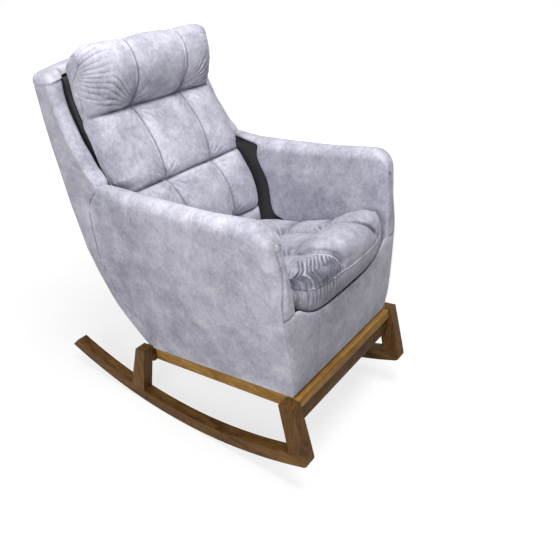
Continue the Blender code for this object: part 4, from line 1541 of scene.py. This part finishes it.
@dataclass(frozen=True)
class Tufting:
    """Where a cushion is drawn in: seams along it, creases across it, and a deep spot at each crossing."""

    columns: tuple[float, ...]
    rows: tuple[float, ...]
    column_depth: float = 0.010
    last_depth: float = 0.006
    last_run: float = 0.060
    row_depth: float = 0.010
    spot_depth: float = 0.020
    spot_reach: float = 0.042
    spot_share: float = 0.4
    flank: float = 0.016
    row_flank: float = 0.010
    row_flank_reach: float = 0.030
    stitch_line: float = 0.0045
    column_line: float = 0.0042
    row_line: float = 0.0035
    fan: float = 0.0034
    fan_count: float = 13.0
    fan_radius: float = 0.030
    fan_width: float = 0.020

    def depth(self, x: float, s: float, seed: float) -> float:
        """How far the cover is drawn in.

        Args:
            x: Place across.
            s: Place along.
            seed: Shifts the small folds.

        Returns:
            The depth in metres.
        """
        dx, x0 = min((abs(x - c), c) for c in self.columns)
        ds, s0 = min((abs(s - r), r) for r in self.rows)
        away = math.hypot(dx, ds)
        column = mix(self.column_depth, self.last_depth, ease((s - self.rows[-1]) / self.last_run))
        seam = (column + self.spot_depth * math.exp(-ds / self.spot_reach)) * math.exp(-dx / self.flank)
        lapse = math.exp(-ds / mix(self.row_flank, self.flank, math.exp(-dx / self.row_flank_reach)))
        crease = (self.row_depth + self.spot_depth * math.exp(-dx / self.spot_reach)) * lapse
        spot = self.spot_share * self.spot_depth * math.exp(-away / self.spot_reach)
        deep = (seam**3 + crease**3) ** (1 / 3) + spot
        column_stitch = 1.4 * math.exp(-(dx / self.column_line) ** 2)
        deep += self.stitch_line * max(column_stitch, math.exp(-(ds / self.row_line) ** 2))
        angle = math.atan2(s - s0, x - x0)
        wander = 3.0 * noise.noise(Vector((x * 9, s * 9, seed)))
        folds = 1 - abs(math.cos(0.5 * self.fan_count * angle + wander)) ** 0.6
        return deep + self.fan * folds * math.exp(-((away - self.fan_radius) / self.fan_width) ** 2)


@dataclass
class TuftedCushion:
    """A loose cushion: a tufted face, a border sewn on with piping, and a plain underside."""

    shop: Workshop
    name: str
    path: Path
    tuft: Tufting
    columns: int
    rows: int
    layers: int = 8
    smoothing: float = 0.15
    crowding: float = 1.0
    piping_radius: float = 0.0020
    swell: float = 0.0030
    dimple: float = 0.0012
    known: dict[tuple[float, float], Vector] = field(default_factory=dict)

    def __post_init__(self) -> None:
        """Sample the face's path once."""
        self.table = self.path.table(self.rows)
        self.length = self.path.length()

    def drawn_in(self, across: float, v: float) -> Vector:
        """Point of the tufted face; across runs from -1 to 1, v from 0 to 1."""
        raise NotImplementedError

    def border(self, across: float, v: float, w: float) -> Vector:
        """Point of the border or the underside; w runs from 0 at the piping to 1."""
        raise NotImplementedError

    def face(self, across: float, v: float) -> Vector:
        """Point of the tufted face, worked out once.

        Args:
            across: Place across, -1 to 1.
            v: Share of the length.

        Returns:
            The point.
        """
        key = (round(across, 5), round(v, 5))
        if key not in self.known:
            self.known[key] = self.drawn_in(across, v)
        return self.known[key]

    def fullness(self, spot: Vector, size: float, seed: float) -> float:
        """How far the filling lifts the cover in soft lumps.

        Args:
            spot: Point of the plain face.
            size: Width of the large lumps.
            seed: Shifts the lumps.

        Returns:
            The lift in metres.
        """
        return self.swell * ripple(spot, size, seed) + self.dimple * ripple(spot, 0.030, seed + 3)

    def crowd(self, across: float) -> float:
        """Move the columns towards the sides, where the cover turns most."""
        return math.copysign(1 - (1 - abs(across)) ** self.crowding, across)

    def rim(self) -> list[Vector]:
        """Points round the edge of the face.

        Returns:
            The points.
        """
        upright = [(-1.0, k / self.rows) for k in range(self.rows)]
        top = [(self.crowd(2 * k / self.columns - 1), 1.0) for k in range(self.columns)]
        down = [(1.0, 1 - k / self.rows) for k in range(self.rows)]
        low = [(self.crowd(1 - 2 * k / self.columns), 0.0) for k in range(self.columns)]
        return [self.face(across, v) for across, v in upright + top + down + low]

    def build(self, finish: BrushedVelvet) -> None:
        """Make the cushion and its piping.

        Args:
            finish: Its cloth.
        """
        builder, spots = block_lattice(self.columns, self.rows, self.layers)
        for vertex, (u, v, w) in spots.items():
            across = self.crowd(2 * u - 1)
            vertex.co = self.face(across, v) if w < EDGE else self.border(across, v, w)
        bmesh.ops.smooth_vert(builder, verts=builder.verts[:], factor=self.smoothing, use_axis_x=True,
                              use_axis_y=True, use_axis_z=True)
        self.shop.put(self.name + "_cover", builder, finish, body=self.name, stands_for=(self.name,),
                      sharp=85.0, fill=0.85)
        piping = thread_tube(self.rim()[::2], self.piping_radius, closed=True)
        # The piping keeps the painted shade in its hollows but gets no painted highlight.
        self.shop.put(self.name + "_piping", piping, finish, body=self.name, palest=0.0)


@dataclass
class BackCushion(TuftedCushion):
    """The back cushion: three columns of puffs under a head roll."""

    half_width_low: float = 0.2265
    half_width_high: float = 0.2375
    widens_at: float = 0.745
    right_drops: tuple[float, ...] = (0.024, 0.024, 0.024, 0.026, 0.030, 0.036, 0.058, 0.080, 0.074, 0.058,
                                      0.054, 0.066, 0.082, 0.084, 0.070, 0.045, 0.022, 0.016, 0.014, 0.010)
    left_drops: tuple[float, ...] = (0.024, 0.024, 0.024, 0.026, 0.028, 0.028, 0.028, 0.030, 0.034, 0.042,
                                     0.050, 0.060, 0.072, 0.074, 0.062, 0.042, 0.022, 0.016, 0.014, 0.010)
    round_from: float = 0.70
    corner: float = 0.030
    side_pleat: float = 0.0062
    side_pitch: float = 0.0160
    side_reach: float = 0.030
    fan_depth: float = 0.0065
    fan_folds: float = 5.6
    rear_inset: float = 0.004
    bulge: float = 0.006
    seams: tuple[tuple[str, float], ...] = (("right", -0.0955), ("left", 0.0945))
    seam_radius: float = 0.0030
    seam_sink: float = 0.0020

    def __post_init__(self) -> None:
        """Spread the depths of the rounded sides along the path."""
        super().__post_init__()
        lengths = [self.path.length_where(k) for k in range(len(self.path.points))]
        self.right_drop = Profile(tuple(zip(lengths, self.right_drops)))
        self.left_drop = Profile(tuple(zip(lengths, self.left_drops)))

    def half_width(self, z: float, s: float) -> float:
        """Half width at a height and a length; the top corners are round.

        Args:
            z: The height.
            s: Length along the face.

        Returns:
            The half width.
        """
        wide = mix(self.half_width_low, self.half_width_high, ease((z - self.widens_at) / 0.03))
        into = clamp((s - self.length + self.corner) / self.corner)
        return wide - self.corner * (1 - math.sqrt(1 - 0.96 * into * into))

    def rear_point(self, v: float) -> tuple[float, float]:
        """Point of the flat rear side, which leans on the inner back and rounds forwards at the top."""
        z = mix(0.432, 1.046, clamp(v * 1.12))
        return inner_back(z) - 0.005 - 0.018 * ease((z - 0.96) / 0.09), z

    def drawn_in(self, across: float, v: float) -> Vector:
        """Point of the cushion's front.

        Args:
            across: Place across, -1 to 1.
            v: Share of the length.

        Returns:
            The point.
        """
        y, z, dy, dz = self.table[round(v * self.rows)]
        s = v * self.length
        half = self.half_width(z, s)
        x, edge = across * half, abs(across)
        beyond = clamp((edge - self.round_from) / (1 - self.round_from))
        turned = (1 - math.sqrt(1 - 0.985 * beyond * beyond)) / (1 - math.sqrt(0.015))
        side_drop = (self.right_drop if across < 0 else self.left_drop).at(s)
        drop = side_drop * turned + self.tuft.depth(x, s, 1.0) * (1 - 0.6 * edge**8)
        drop += self.side_gathers(x, s, (1 - edge) * half) * (1 - 0.5 * edge**20)
        drop += self.side_fan(x, s)
        spot = Vector((x, y, z))
        return spot - Vector((0.0, -dz, dy)) * (drop - self.fullness(spot, 0.085, 5.0))

    def side_gathers(self, x: float, s: float, inward: float) -> float:
        """Depth of the gathers down the head roll's sides.

        Args:
            x: Place across.
            s: Place along.
            inward: Distance from the side.

        Returns:
            The depth in metres.
        """
        head = ease((s - self.tuft.rows[2] - 0.015) / 0.03)
        folds = 1 - sharp_pleat(s / self.side_pitch + 0.5 * ripple(Vector((x, s, 0.3)), 0.06))
        reach = self.side_reach + 0.012 * ripple(Vector((0.0, s, 4.0)), 0.02)
        return self.side_pleat * folds * head * math.exp(-inward / reach)

    def side_fan(self, x: float, s: float) -> float:
        """Folds from an upper tuft towards the side of the head roll.

        Args:
            x: Place across.
            s: Place along.

        Returns:
            Their depth in metres.
        """
        column = self.tuft.columns[0] if x < 0 else self.tuft.columns[1]
        away, rise = abs(x) - abs(column), s - self.tuft.rows[2]
        if away < 0:
            return 0.0
        angle, reach = math.atan2(rise, away), math.hypot(away, rise)
        gate = ease((angle + 0.05) / 0.15) * ease((1.15 - angle) / 0.3)
        folds = 1 - sharp_pleat(angle * self.fan_folds + 0.4 * ripple(Vector((x, s, 0.0)), 0.05))
        return self.fan_depth * folds * gate * math.exp(-((reach - 0.070) / 0.050) ** 2)

    def border(self, across: float, v: float, w: float) -> Vector:
        """Point of the border or of the rear.

        Args:
            across: Place across, -1 to 1.
            v: Share of the length.
            w: Share of the way through, 0 at the piping.

        Returns:
            The point.
        """
        rear_y, rear_z = self.rear_point(v)
        half = self.half_width(rear_z, v * self.length)
        rear = Vector((across * (half - self.rear_inset), rear_y, rear_z))
        if w > 1 - EDGE:
            return rear
        point = self.face(across, v).lerp(rear, w)
        bulge = self.bulge * math.sin(math.pi * w)
        if abs(across) > 1 - EDGE:
            point.x += math.copysign(bulge * mix(0.2, 1.0, ease((rear_z - 0.74) / 0.04)), across)
        if v > 1 - EDGE:
            point.z += bulge
        return point

    def build(self, finish: BrushedVelvet) -> None:
        """Make the cushion, its piping and the folded edges of its two long seams.

        Args:
            finish: Its cloth.
        """
        super().build(finish)
        for label, column in self.seams:
            path = []
            for k in range(4, self.rows - 1):
                z, dy, dz = self.table[k][1:]
                v = k / self.rows
                across = column / self.half_width(z, v * self.length)
                path.append(self.face(across, v) - Vector((0.0, dz, -dy)) * self.seam_sink)
            self.shop.put(f"{self.name}_seam_{label}", thread_tube(path, self.seam_radius, flat=0.9), finish,
                          body=self.name)


@dataclass
class SeatCushion(TuftedCushion):
    """The seat cushion: three columns of puffs that roll over a boxed, piped front."""

    half: float = 0.2255
    bottom: float = 0.4222
    bottom_rear: float = -0.098
    bottom_front: float = -0.524
    smile: float = 0.045
    bow: float = 0.060
    drift: float = 0.060
    step: float = 0.012
    front_bow: float = 0.022
    crown: float = 0.005
    pleat_pitch: float = 0.0148
    pleat_depth: float = 0.0095
    lean_turn: float = 0.78
    border_pitch: float = 0.0135
    border_gather: float = 0.0075
    border_swell: float = 0.009

    def drifted(self, front: float) -> float:
        """How far the seams have drifted sideways on their way down the front."""
        return self.drift * front**1.5

    def edge_drop(self, edge: float, s: float, front: float) -> float:
        """How far the sides hang below the middle.

        Args:
            edge: Place across, 0 in the middle and 1 at the side.
            s: Place along.
            front: Share of the way down the front.

        Returns:
            The drop in metres.
        """
        rear = 1 - ease((s - 0.5 * self.tuft.rows[0]) / 0.12)
        return (0.024 + 0.016 * rear) * edge**5 * (1 - front) + 0.016 * edge**9 * front

    def drawn_in(self, across: float, v: float) -> Vector:
        """Point of the cushion's top, which rolls over its front.

        Args:
            across: Place across, -1 to 1.
            v: Share of the length.

        Returns:
            The point.
        """
        y, z, dy, dz = self.table[round(v * self.rows)]
        s = v * self.length
        x, edge = across * self.half, abs(across)
        first_row, last_row = self.tuft.rows[0], self.tuft.rows[-1]
        front = ease((s - last_row) / (self.length - last_row))
        drifted = self.drifted(front)
        bowed = s + self.bow * across * across * ease((s - first_row) / 0.10) * (1 - front)
        fade = 1 - 0.8 * ease((v - 0.94) / 0.06)
        low_side = ease((self.tuft.columns[0] + drifted - x) / 0.012)
        drop = self.edge_drop(edge, s, front)
        drop += self.step * low_side * ease(front / 0.2) * (1 - 0.7 * ease((front - 0.5) / 0.4))
        drop += self.tuft.depth(x - drifted, bowed, 2.0) * (1 - 0.5 * edge**8) * fade
        drop += self.pleats(x, s, front)
        spot = Vector((x, y, z))
        point = spot - Vector((0.0, dz, -dy)) * (drop - self.fullness(spot, 0.080, 15.0))
        point.z += self.crown * (1 - across**4) * front + self.smile * edge**5 * ease((v - 0.80) / 0.20)
        point.y -= self.front_bow * (1 - across * across) * math.sin(math.pi * front * 0.8)
        point.y += self.front_bow * edge**8 * front
        return point

    def pleats(self, x: float, s: float, front: float) -> float:
        """Gathers of the right front puff, which run from its crest down to the piping.

        Args:
            x: Place across.
            s: Place along.
            front: Share of the way down the front.

        Returns:
            Their depth in metres.
        """
        leant = x - 0.11 * max(self.lean_turn - front, 0.0) - 0.03 * max(front - self.lean_turn, 0.0)
        line = leant / self.pleat_pitch + 0.55 * ripple(Vector((x, s, 0.9)), 0.035, 3.0)
        number = math.floor(line + 0.5)
        own = 0.80 + 0.9 * noise.noise(Vector((number * 1.7, 3.1, 0.4)))
        puff = ease((self.tuft.columns[0] + self.drifted(front) - 0.010 - x) / 0.012)
        near = abs(line - number) * self.pleat_pitch
        valley = math.exp(-(near / 0.0024) ** 2) + 0.20 * math.exp(-(near / 0.0050) ** 2)
        start = 0.48 + 0.30 * noise.noise(Vector((number * 2.3, 0.7, 1.4)))
        return self.pleat_depth * valley * clamp(own, 0.35, 1.3) * puff * ease((front - start) / 0.22)

    def border(self, across: float, v: float, w: float) -> Vector:
        """Point of the border or of the bottom.

        Args:
            across: Place across, -1 to 1.
            v: Share of the length.
            w: Share of the way through, 0 at the piping.

        Returns:
            The point.
        """
        edge = abs(across)
        y = mix(self.bottom_rear, self.bottom_front, v)
        rise = (0.005 + 0.060 * edge**5) * ease((v - 0.80) / 0.20)
        low = Vector((across * (self.half - 0.003), y + 0.018 * edge**6 * v, self.bottom + rise))
        if w > 1 - EDGE:
            return low
        point = self.face(across, v).lerp(low, w)
        if v > 1 - EDGE:
            gathers = 1 - sharp_pleat(point.x / self.border_pitch + 0.4 * ripple(point, 0.05, 6.0))
            gathers *= ease((-point.x - 0.02) / 0.05) * (1 - 0.6 * w)
            point.y += (self.border_gather * gathers - self.border_swell) * math.sin(math.pi * w)
        return point


def build_cushions(shop: Workshop) -> None:
    """Make both loose cushions.

    Args:
        shop: Where they are made.
    """
    path = Path(((-0.084, 0.430), (-0.088, 0.480), (-0.088, 0.535), (-0.090, 0.585), (-0.079, 0.645),
                 (-0.056, 0.700), (-0.038, 0.735), (-0.026, 0.775), (-0.004, 0.835), (0.019, 0.890),
                 (0.034, 0.932), (0.022, 0.962), (0.006, 1.000), (0.000, 1.035), (0.006, 1.068),
                 (0.023, 1.095), (0.048, 1.108), (0.074, 1.103), (0.094, 1.084), (0.103, 1.060)))
    rows = tuple(path.length_where(k) for k in (2, 6, 10))
    tuft = Tufting((-0.090, 0.100), rows, stitch_line=0.0070, column_depth=0.011)
    back = BackCushion(shop, "back_cushion", path, tuft, 270, 260, crowding=1.35)
    back.build(BrushedVelvet("velvet_back_cushion"))
    path = Path(((-0.096, 0.515), (-0.150, 0.524), (-0.200, 0.526), (-0.250, 0.526), (-0.300, 0.532),
                 (-0.358, 0.545), (-0.412, 0.562), (-0.440, 0.575), (-0.468, 0.583), (-0.500, 0.580),
                 (-0.525, 0.564), (-0.541, 0.538), (-0.546, 0.515), (-0.544, 0.497)))
    rows = tuple(path.length_where(k) for k in (3, 6))
    tuft = Tufting((-0.092, 0.092), rows, column_depth=0.020, last_depth=0.013, row_depth=0.016,
                   spot_depth=0.026, flank=0.014, stitch_line=0.0055)
    SeatCushion(shop, "seat_cushion", path, tuft, 300, 190, 10).build(BrushedVelvet("velvet_seat_cushion"))


# ---------------------------------------------------------------- timber and hidden pieces
@dataclass
class Timber:
    """The wooden base, with its edges eased, and the pieces inside the shell."""

    shop: Workshop
    weld: float = 0.00002
    flat_angle: float = math.radians(0.4)
    corner_angle: float = math.radians(30.0)
    eased: float = 0.0007

    def build(self) -> None:
        """Dress the base and the inner frame."""
        shown = {"rocker": Grain.ALONG_Y, "front_post": Grain.ALONG_Z, "rear_post": Grain.ALONG_Z}
        for stem, grain in shown.items():
            for label, _ in SIDES:
                self._ease(f"{stem}_{label}", StainedTimber(f"walnut_{grain.name.lower()}", "walnut", grain))
        for node in ("front_cross_rail", "rear_cross_rail"):
            self._ease(node, StainedTimber("walnut_along_x", "walnut", Grain.ALONG_X))
        for node, grain in (("side_rail_right", Grain.ALONG_Y), ("side_rail_left", Grain.ALONG_Y),
                            ("front_seat_rail", Grain.ALONG_X)):
            self._ease(node, StainedTimber("golden_" + grain.name.lower(), "golden_wood", grain,
                                           dark=(0.130, 0.058, 0.010), middle=(0.320, 0.170, 0.040),
                                           light=(0.520, 0.320, 0.105)))
        beech = StainedTimber("raw_beech", "beech", Grain.ALONG_Z, dark=(0.36, 0.22, 0.11),
                              middle=(0.52, 0.36, 0.20), light=(0.64, 0.47, 0.29), gloss=0.0)
        cloth = DarkLining("frame_cloth")
        web = DarkLining("web_cloth", slot="webbing", colour=(0.06, 0.06, 0.06))
        steel = ZincSteel("zinc_steel")
        by_slot = {"beech": beech, "dark_lining": cloth, "webbing": web, "zinc": steel}
        for part in frame["record"]["subparts"]:
            if part["material_slot"] in by_slot and not frame["nodes"][part["node"]].hide_render:
                wrapped = part["node"].startswith("back_post")
                self.shop.dress(part["node"], cloth if wrapped else by_slot[part["material_slot"]])

    def _ease(self, node: str, finish: StainedTimber) -> None:
        """Copy a timber node, merge its faces and round its edges.

        Args:
            node: The node.
            finish: Its finish.
        """
        builder = bmesh.new()
        builder.from_mesh(frame["nodes"][node].data)
        bmesh.ops.remove_doubles(builder, verts=builder.verts[:], dist=self.weld)
        bmesh.ops.dissolve_limit(builder, angle_limit=self.flat_angle, verts=builder.verts[:],
                                 edges=builder.edges[:], delimit=set())
        corners = [edge for edge in builder.edges
                   if len(edge.link_faces) == 2 and edge.calc_face_angle() > self.corner_angle]
        bmesh.ops.bevel(builder, geom=corners, offset=self.eased, offset_type="OFFSET", affect="EDGES",
                        segments=2, profile=0.5, material=-1, clamp_overlap=True)
        piece = self.shop.put(node + "_timber", builder, finish, stands_for=(node,), in_seat=False,
                              sharp=50.0)
        flatten = piece.modifiers.new("even_faces", "WEIGHTED_NORMAL")
        flatten.keep_sharp = True


# ---------------------------------------------------------------- studio
@dataclass(frozen=True)
class Studio:
    """Floor, lamps and camera; each lamp is its name, place, size and power."""

    camera_place: tuple[float, float, float] = (-1.1707, -1.0983, 1.3544)
    camera_azimuth: float = math.radians(-53.7144)
    camera_elevation: float = math.radians(31.9769)
    camera_roll: float = math.radians(-0.6535)
    lens: float = 37.36
    film_width: float = 36.0
    lamp_aim: tuple[float, float, float] = (0.0, 0.0, 0.5)
    lamps: tuple[tuple[str, tuple[float, float, float], float, float], ...] = (
        ("side", (-2.7, -0.7, 1.5), 1.6, 52.0),
        ("overhead", (0.1, 0.4, 3.0), 1.8, 12.0),
        ("front", (-0.2, -0.8, 3.2), 1.4, 72.0))
    fill_light: float = 0.18
    floor_size: float = 9.0
    floor_gap: float = 0.0005
    floor_tones: tuple[float, float] = (0.28, 0.31)
    glow_near: float = 0.74
    glow_from: float = 1.0
    glow_to: float = 2.6

    def build(self, contact_y: float) -> None:
        """Set up the studio.

        Args:
            contact_y: Where the rockers meet the floor.
        """
        self._camera(contact_y)
        self._lamps()
        self._floor()

    def _camera(self, contact_y: float) -> None:
        """Place the camera.

        Args:
            contact_y: Where the rockers meet the floor.
        """
        a, e, r = self.camera_azimuth, self.camera_elevation, self.camera_roll
        back = Vector((math.sin(a) * math.cos(e), -math.cos(a) * math.cos(e), math.sin(e)))
        right = Vector((math.cos(a), math.sin(a), 0.0))
        up = back.cross(right)
        turned_right = math.cos(r) * right + math.sin(r) * up
        turned_up = -math.sin(r) * right + math.cos(r) * up
        data = bpy.data.cameras.new("camera")
        data.lens = self.lens
        data.sensor_width = self.film_width
        camera = bpy.data.objects.new("camera", data)
        bpy.context.scene.collection.objects.link(camera)
        place = Vector(self.camera_place) + Vector((0.0, contact_y, 0.0))
        turn = Matrix((turned_right, turned_up, back)).transposed().to_4x4()
        camera.matrix_world = Matrix.Translation(place) @ turn
        bpy.context.scene.camera = camera

    def _lamp(self, name: str, place: Sequence[float], size: float, power: float) -> None:
        """Add a soft lamp.

        Args:
            name: Its name.
            place: Where it hangs.
            size: Its width.
            power: Its power in watts.
        """
        data = bpy.data.lights.new(name, "AREA")
        data.energy = power
        data.size = size
        lamp = bpy.data.objects.new(name, data)
        bpy.context.scene.collection.objects.link(lamp)
        lamp.location = place
        lamp.rotation_euler = (Vector(self.lamp_aim) - Vector(place)).to_track_quat("-Z", "Y").to_euler()

    def _lamps(self) -> None:
        """The lamps, and a world that is white to look at but lights the chair only a little."""
        for lamp in self.lamps:
            self._lamp(*lamp)
        world = bpy.data.worlds.new("studio")
        bpy.context.scene.world = world
        world.use_nodes = True
        tree = world.node_tree
        light, seen = tree.nodes["Background"], tree.nodes.new("ShaderNodeBackground")
        for background, strength in ((light, self.fill_light), (seen, 1.0)):
            background.inputs["Color"].default_value = (1.0, 1.0, 1.0, 1.0)
            background.inputs["Strength"].default_value = strength
        switch = tree.nodes.new("ShaderNodeMixShader")
        tree.links.new(self._seen(tree), switch.inputs["Fac"])
        tree.links.new(light.outputs["Background"], switch.inputs[1])
        tree.links.new(seen.outputs["Background"], switch.inputs[2])
        tree.links.new(switch.outputs["Shader"], tree.nodes["World Output"].inputs["Surface"])

    def _seen(self, tree: bpy.types.NodeTree) -> bpy.types.NodeSocket:
        """1 where a surface is looked at straight, in gloss or through glass, else 0.

        Args:
            tree: The node tree that asks.

        Returns:
            The value.
        """
        rays = tree.nodes.new("ShaderNodeLightPath")
        total = rays.outputs["Is Camera Ray"]
        for name in ("Is Glossy Ray", "Is Transmission Ray"):
            either = tree.nodes.new("ShaderNodeMath")
            either.operation = "MAXIMUM"
            tree.links.new(total, either.inputs[0])
            tree.links.new(rays.outputs[name], either.inputs[1])
            total = either.outputs[0]
        return total

    def _floor(self) -> None:
        """Pale floor that keeps the chair's shadow."""
        builder = bmesh.new()
        bmesh.ops.create_grid(builder, x_segments=1, y_segments=1, size=self.floor_size)
        mesh = bpy.data.meshes.new("floor")
        builder.to_mesh(mesh)
        builder.free()
        desk = NodeDesk("floor_paint")
        dust = desk.noise(desk.mapping(), 3.0, detail=2.0)
        dark, light = ([tone] * 3 for tone in self.floor_tones)
        desk.link(desk.ramp(dust, ((0.3, dark), (0.7, light))), desk.shader.inputs["Base Color"])
        desk.shader.inputs["Roughness"].default_value = 0.9
        desk.shader.inputs["Emission Color"].default_value = (1.0, 1.0, 1.0, 1.0)
        away = desk.tree.nodes.new("ShaderNodeVectorMath")
        away.operation = "LENGTH"
        desk.link(desk.coords, away.inputs[0])
        near = desk.tree.nodes.new("ShaderNodeMapRange")
        for socket, value in (("From Min", self.glow_from), ("From Max", self.glow_to),
                              ("To Min", self.glow_near), ("To Max", 1.0)):
            near.inputs[socket].default_value = value
        desk.link(away.outputs["Value"], near.inputs["Value"])
        glow = desk.tree.nodes.new("ShaderNodeMath")
        glow.operation = "MULTIPLY"
        desk.link(near.outputs["Result"], glow.inputs[0])
        desk.link(self._seen(desk.tree), glow.inputs[1])
        desk.link(glow.outputs[0], desk.shader.inputs["Emission Strength"])
        mesh.materials.append(desk.material)
        floor = bpy.data.objects.new("floor", mesh)
        floor.location = (0.0, 0.0, -self.floor_gap)
        bpy.context.scene.collection.objects.link(floor)


def main() -> None:
    """Build the chair and its studio."""
    logging.basicConfig(level=logging.INFO, format="%(message)s")
    tread = [vert.co.y for vert in frame["nodes"]["rocker_left"].data.vertices if vert.co.z < 0.00005]
    contact_y = (min(tread) + max(tread)) / 2
    shop = Workshop(SeatFrame(contact_y=contact_y))
    form = ShellForm()
    Studio().build(contact_y)
    for label, side in SIDES:
        Arm(shop, form, label, side).build()
    Back(shop, form).build()
    Apron(shop, form).build()
    build_cushions(shop)
    Timber(shop).build()
    scene = bpy.context.scene
    scene.view_settings.view_transform = "Standard"


if __name__ == "__main__":
    main()
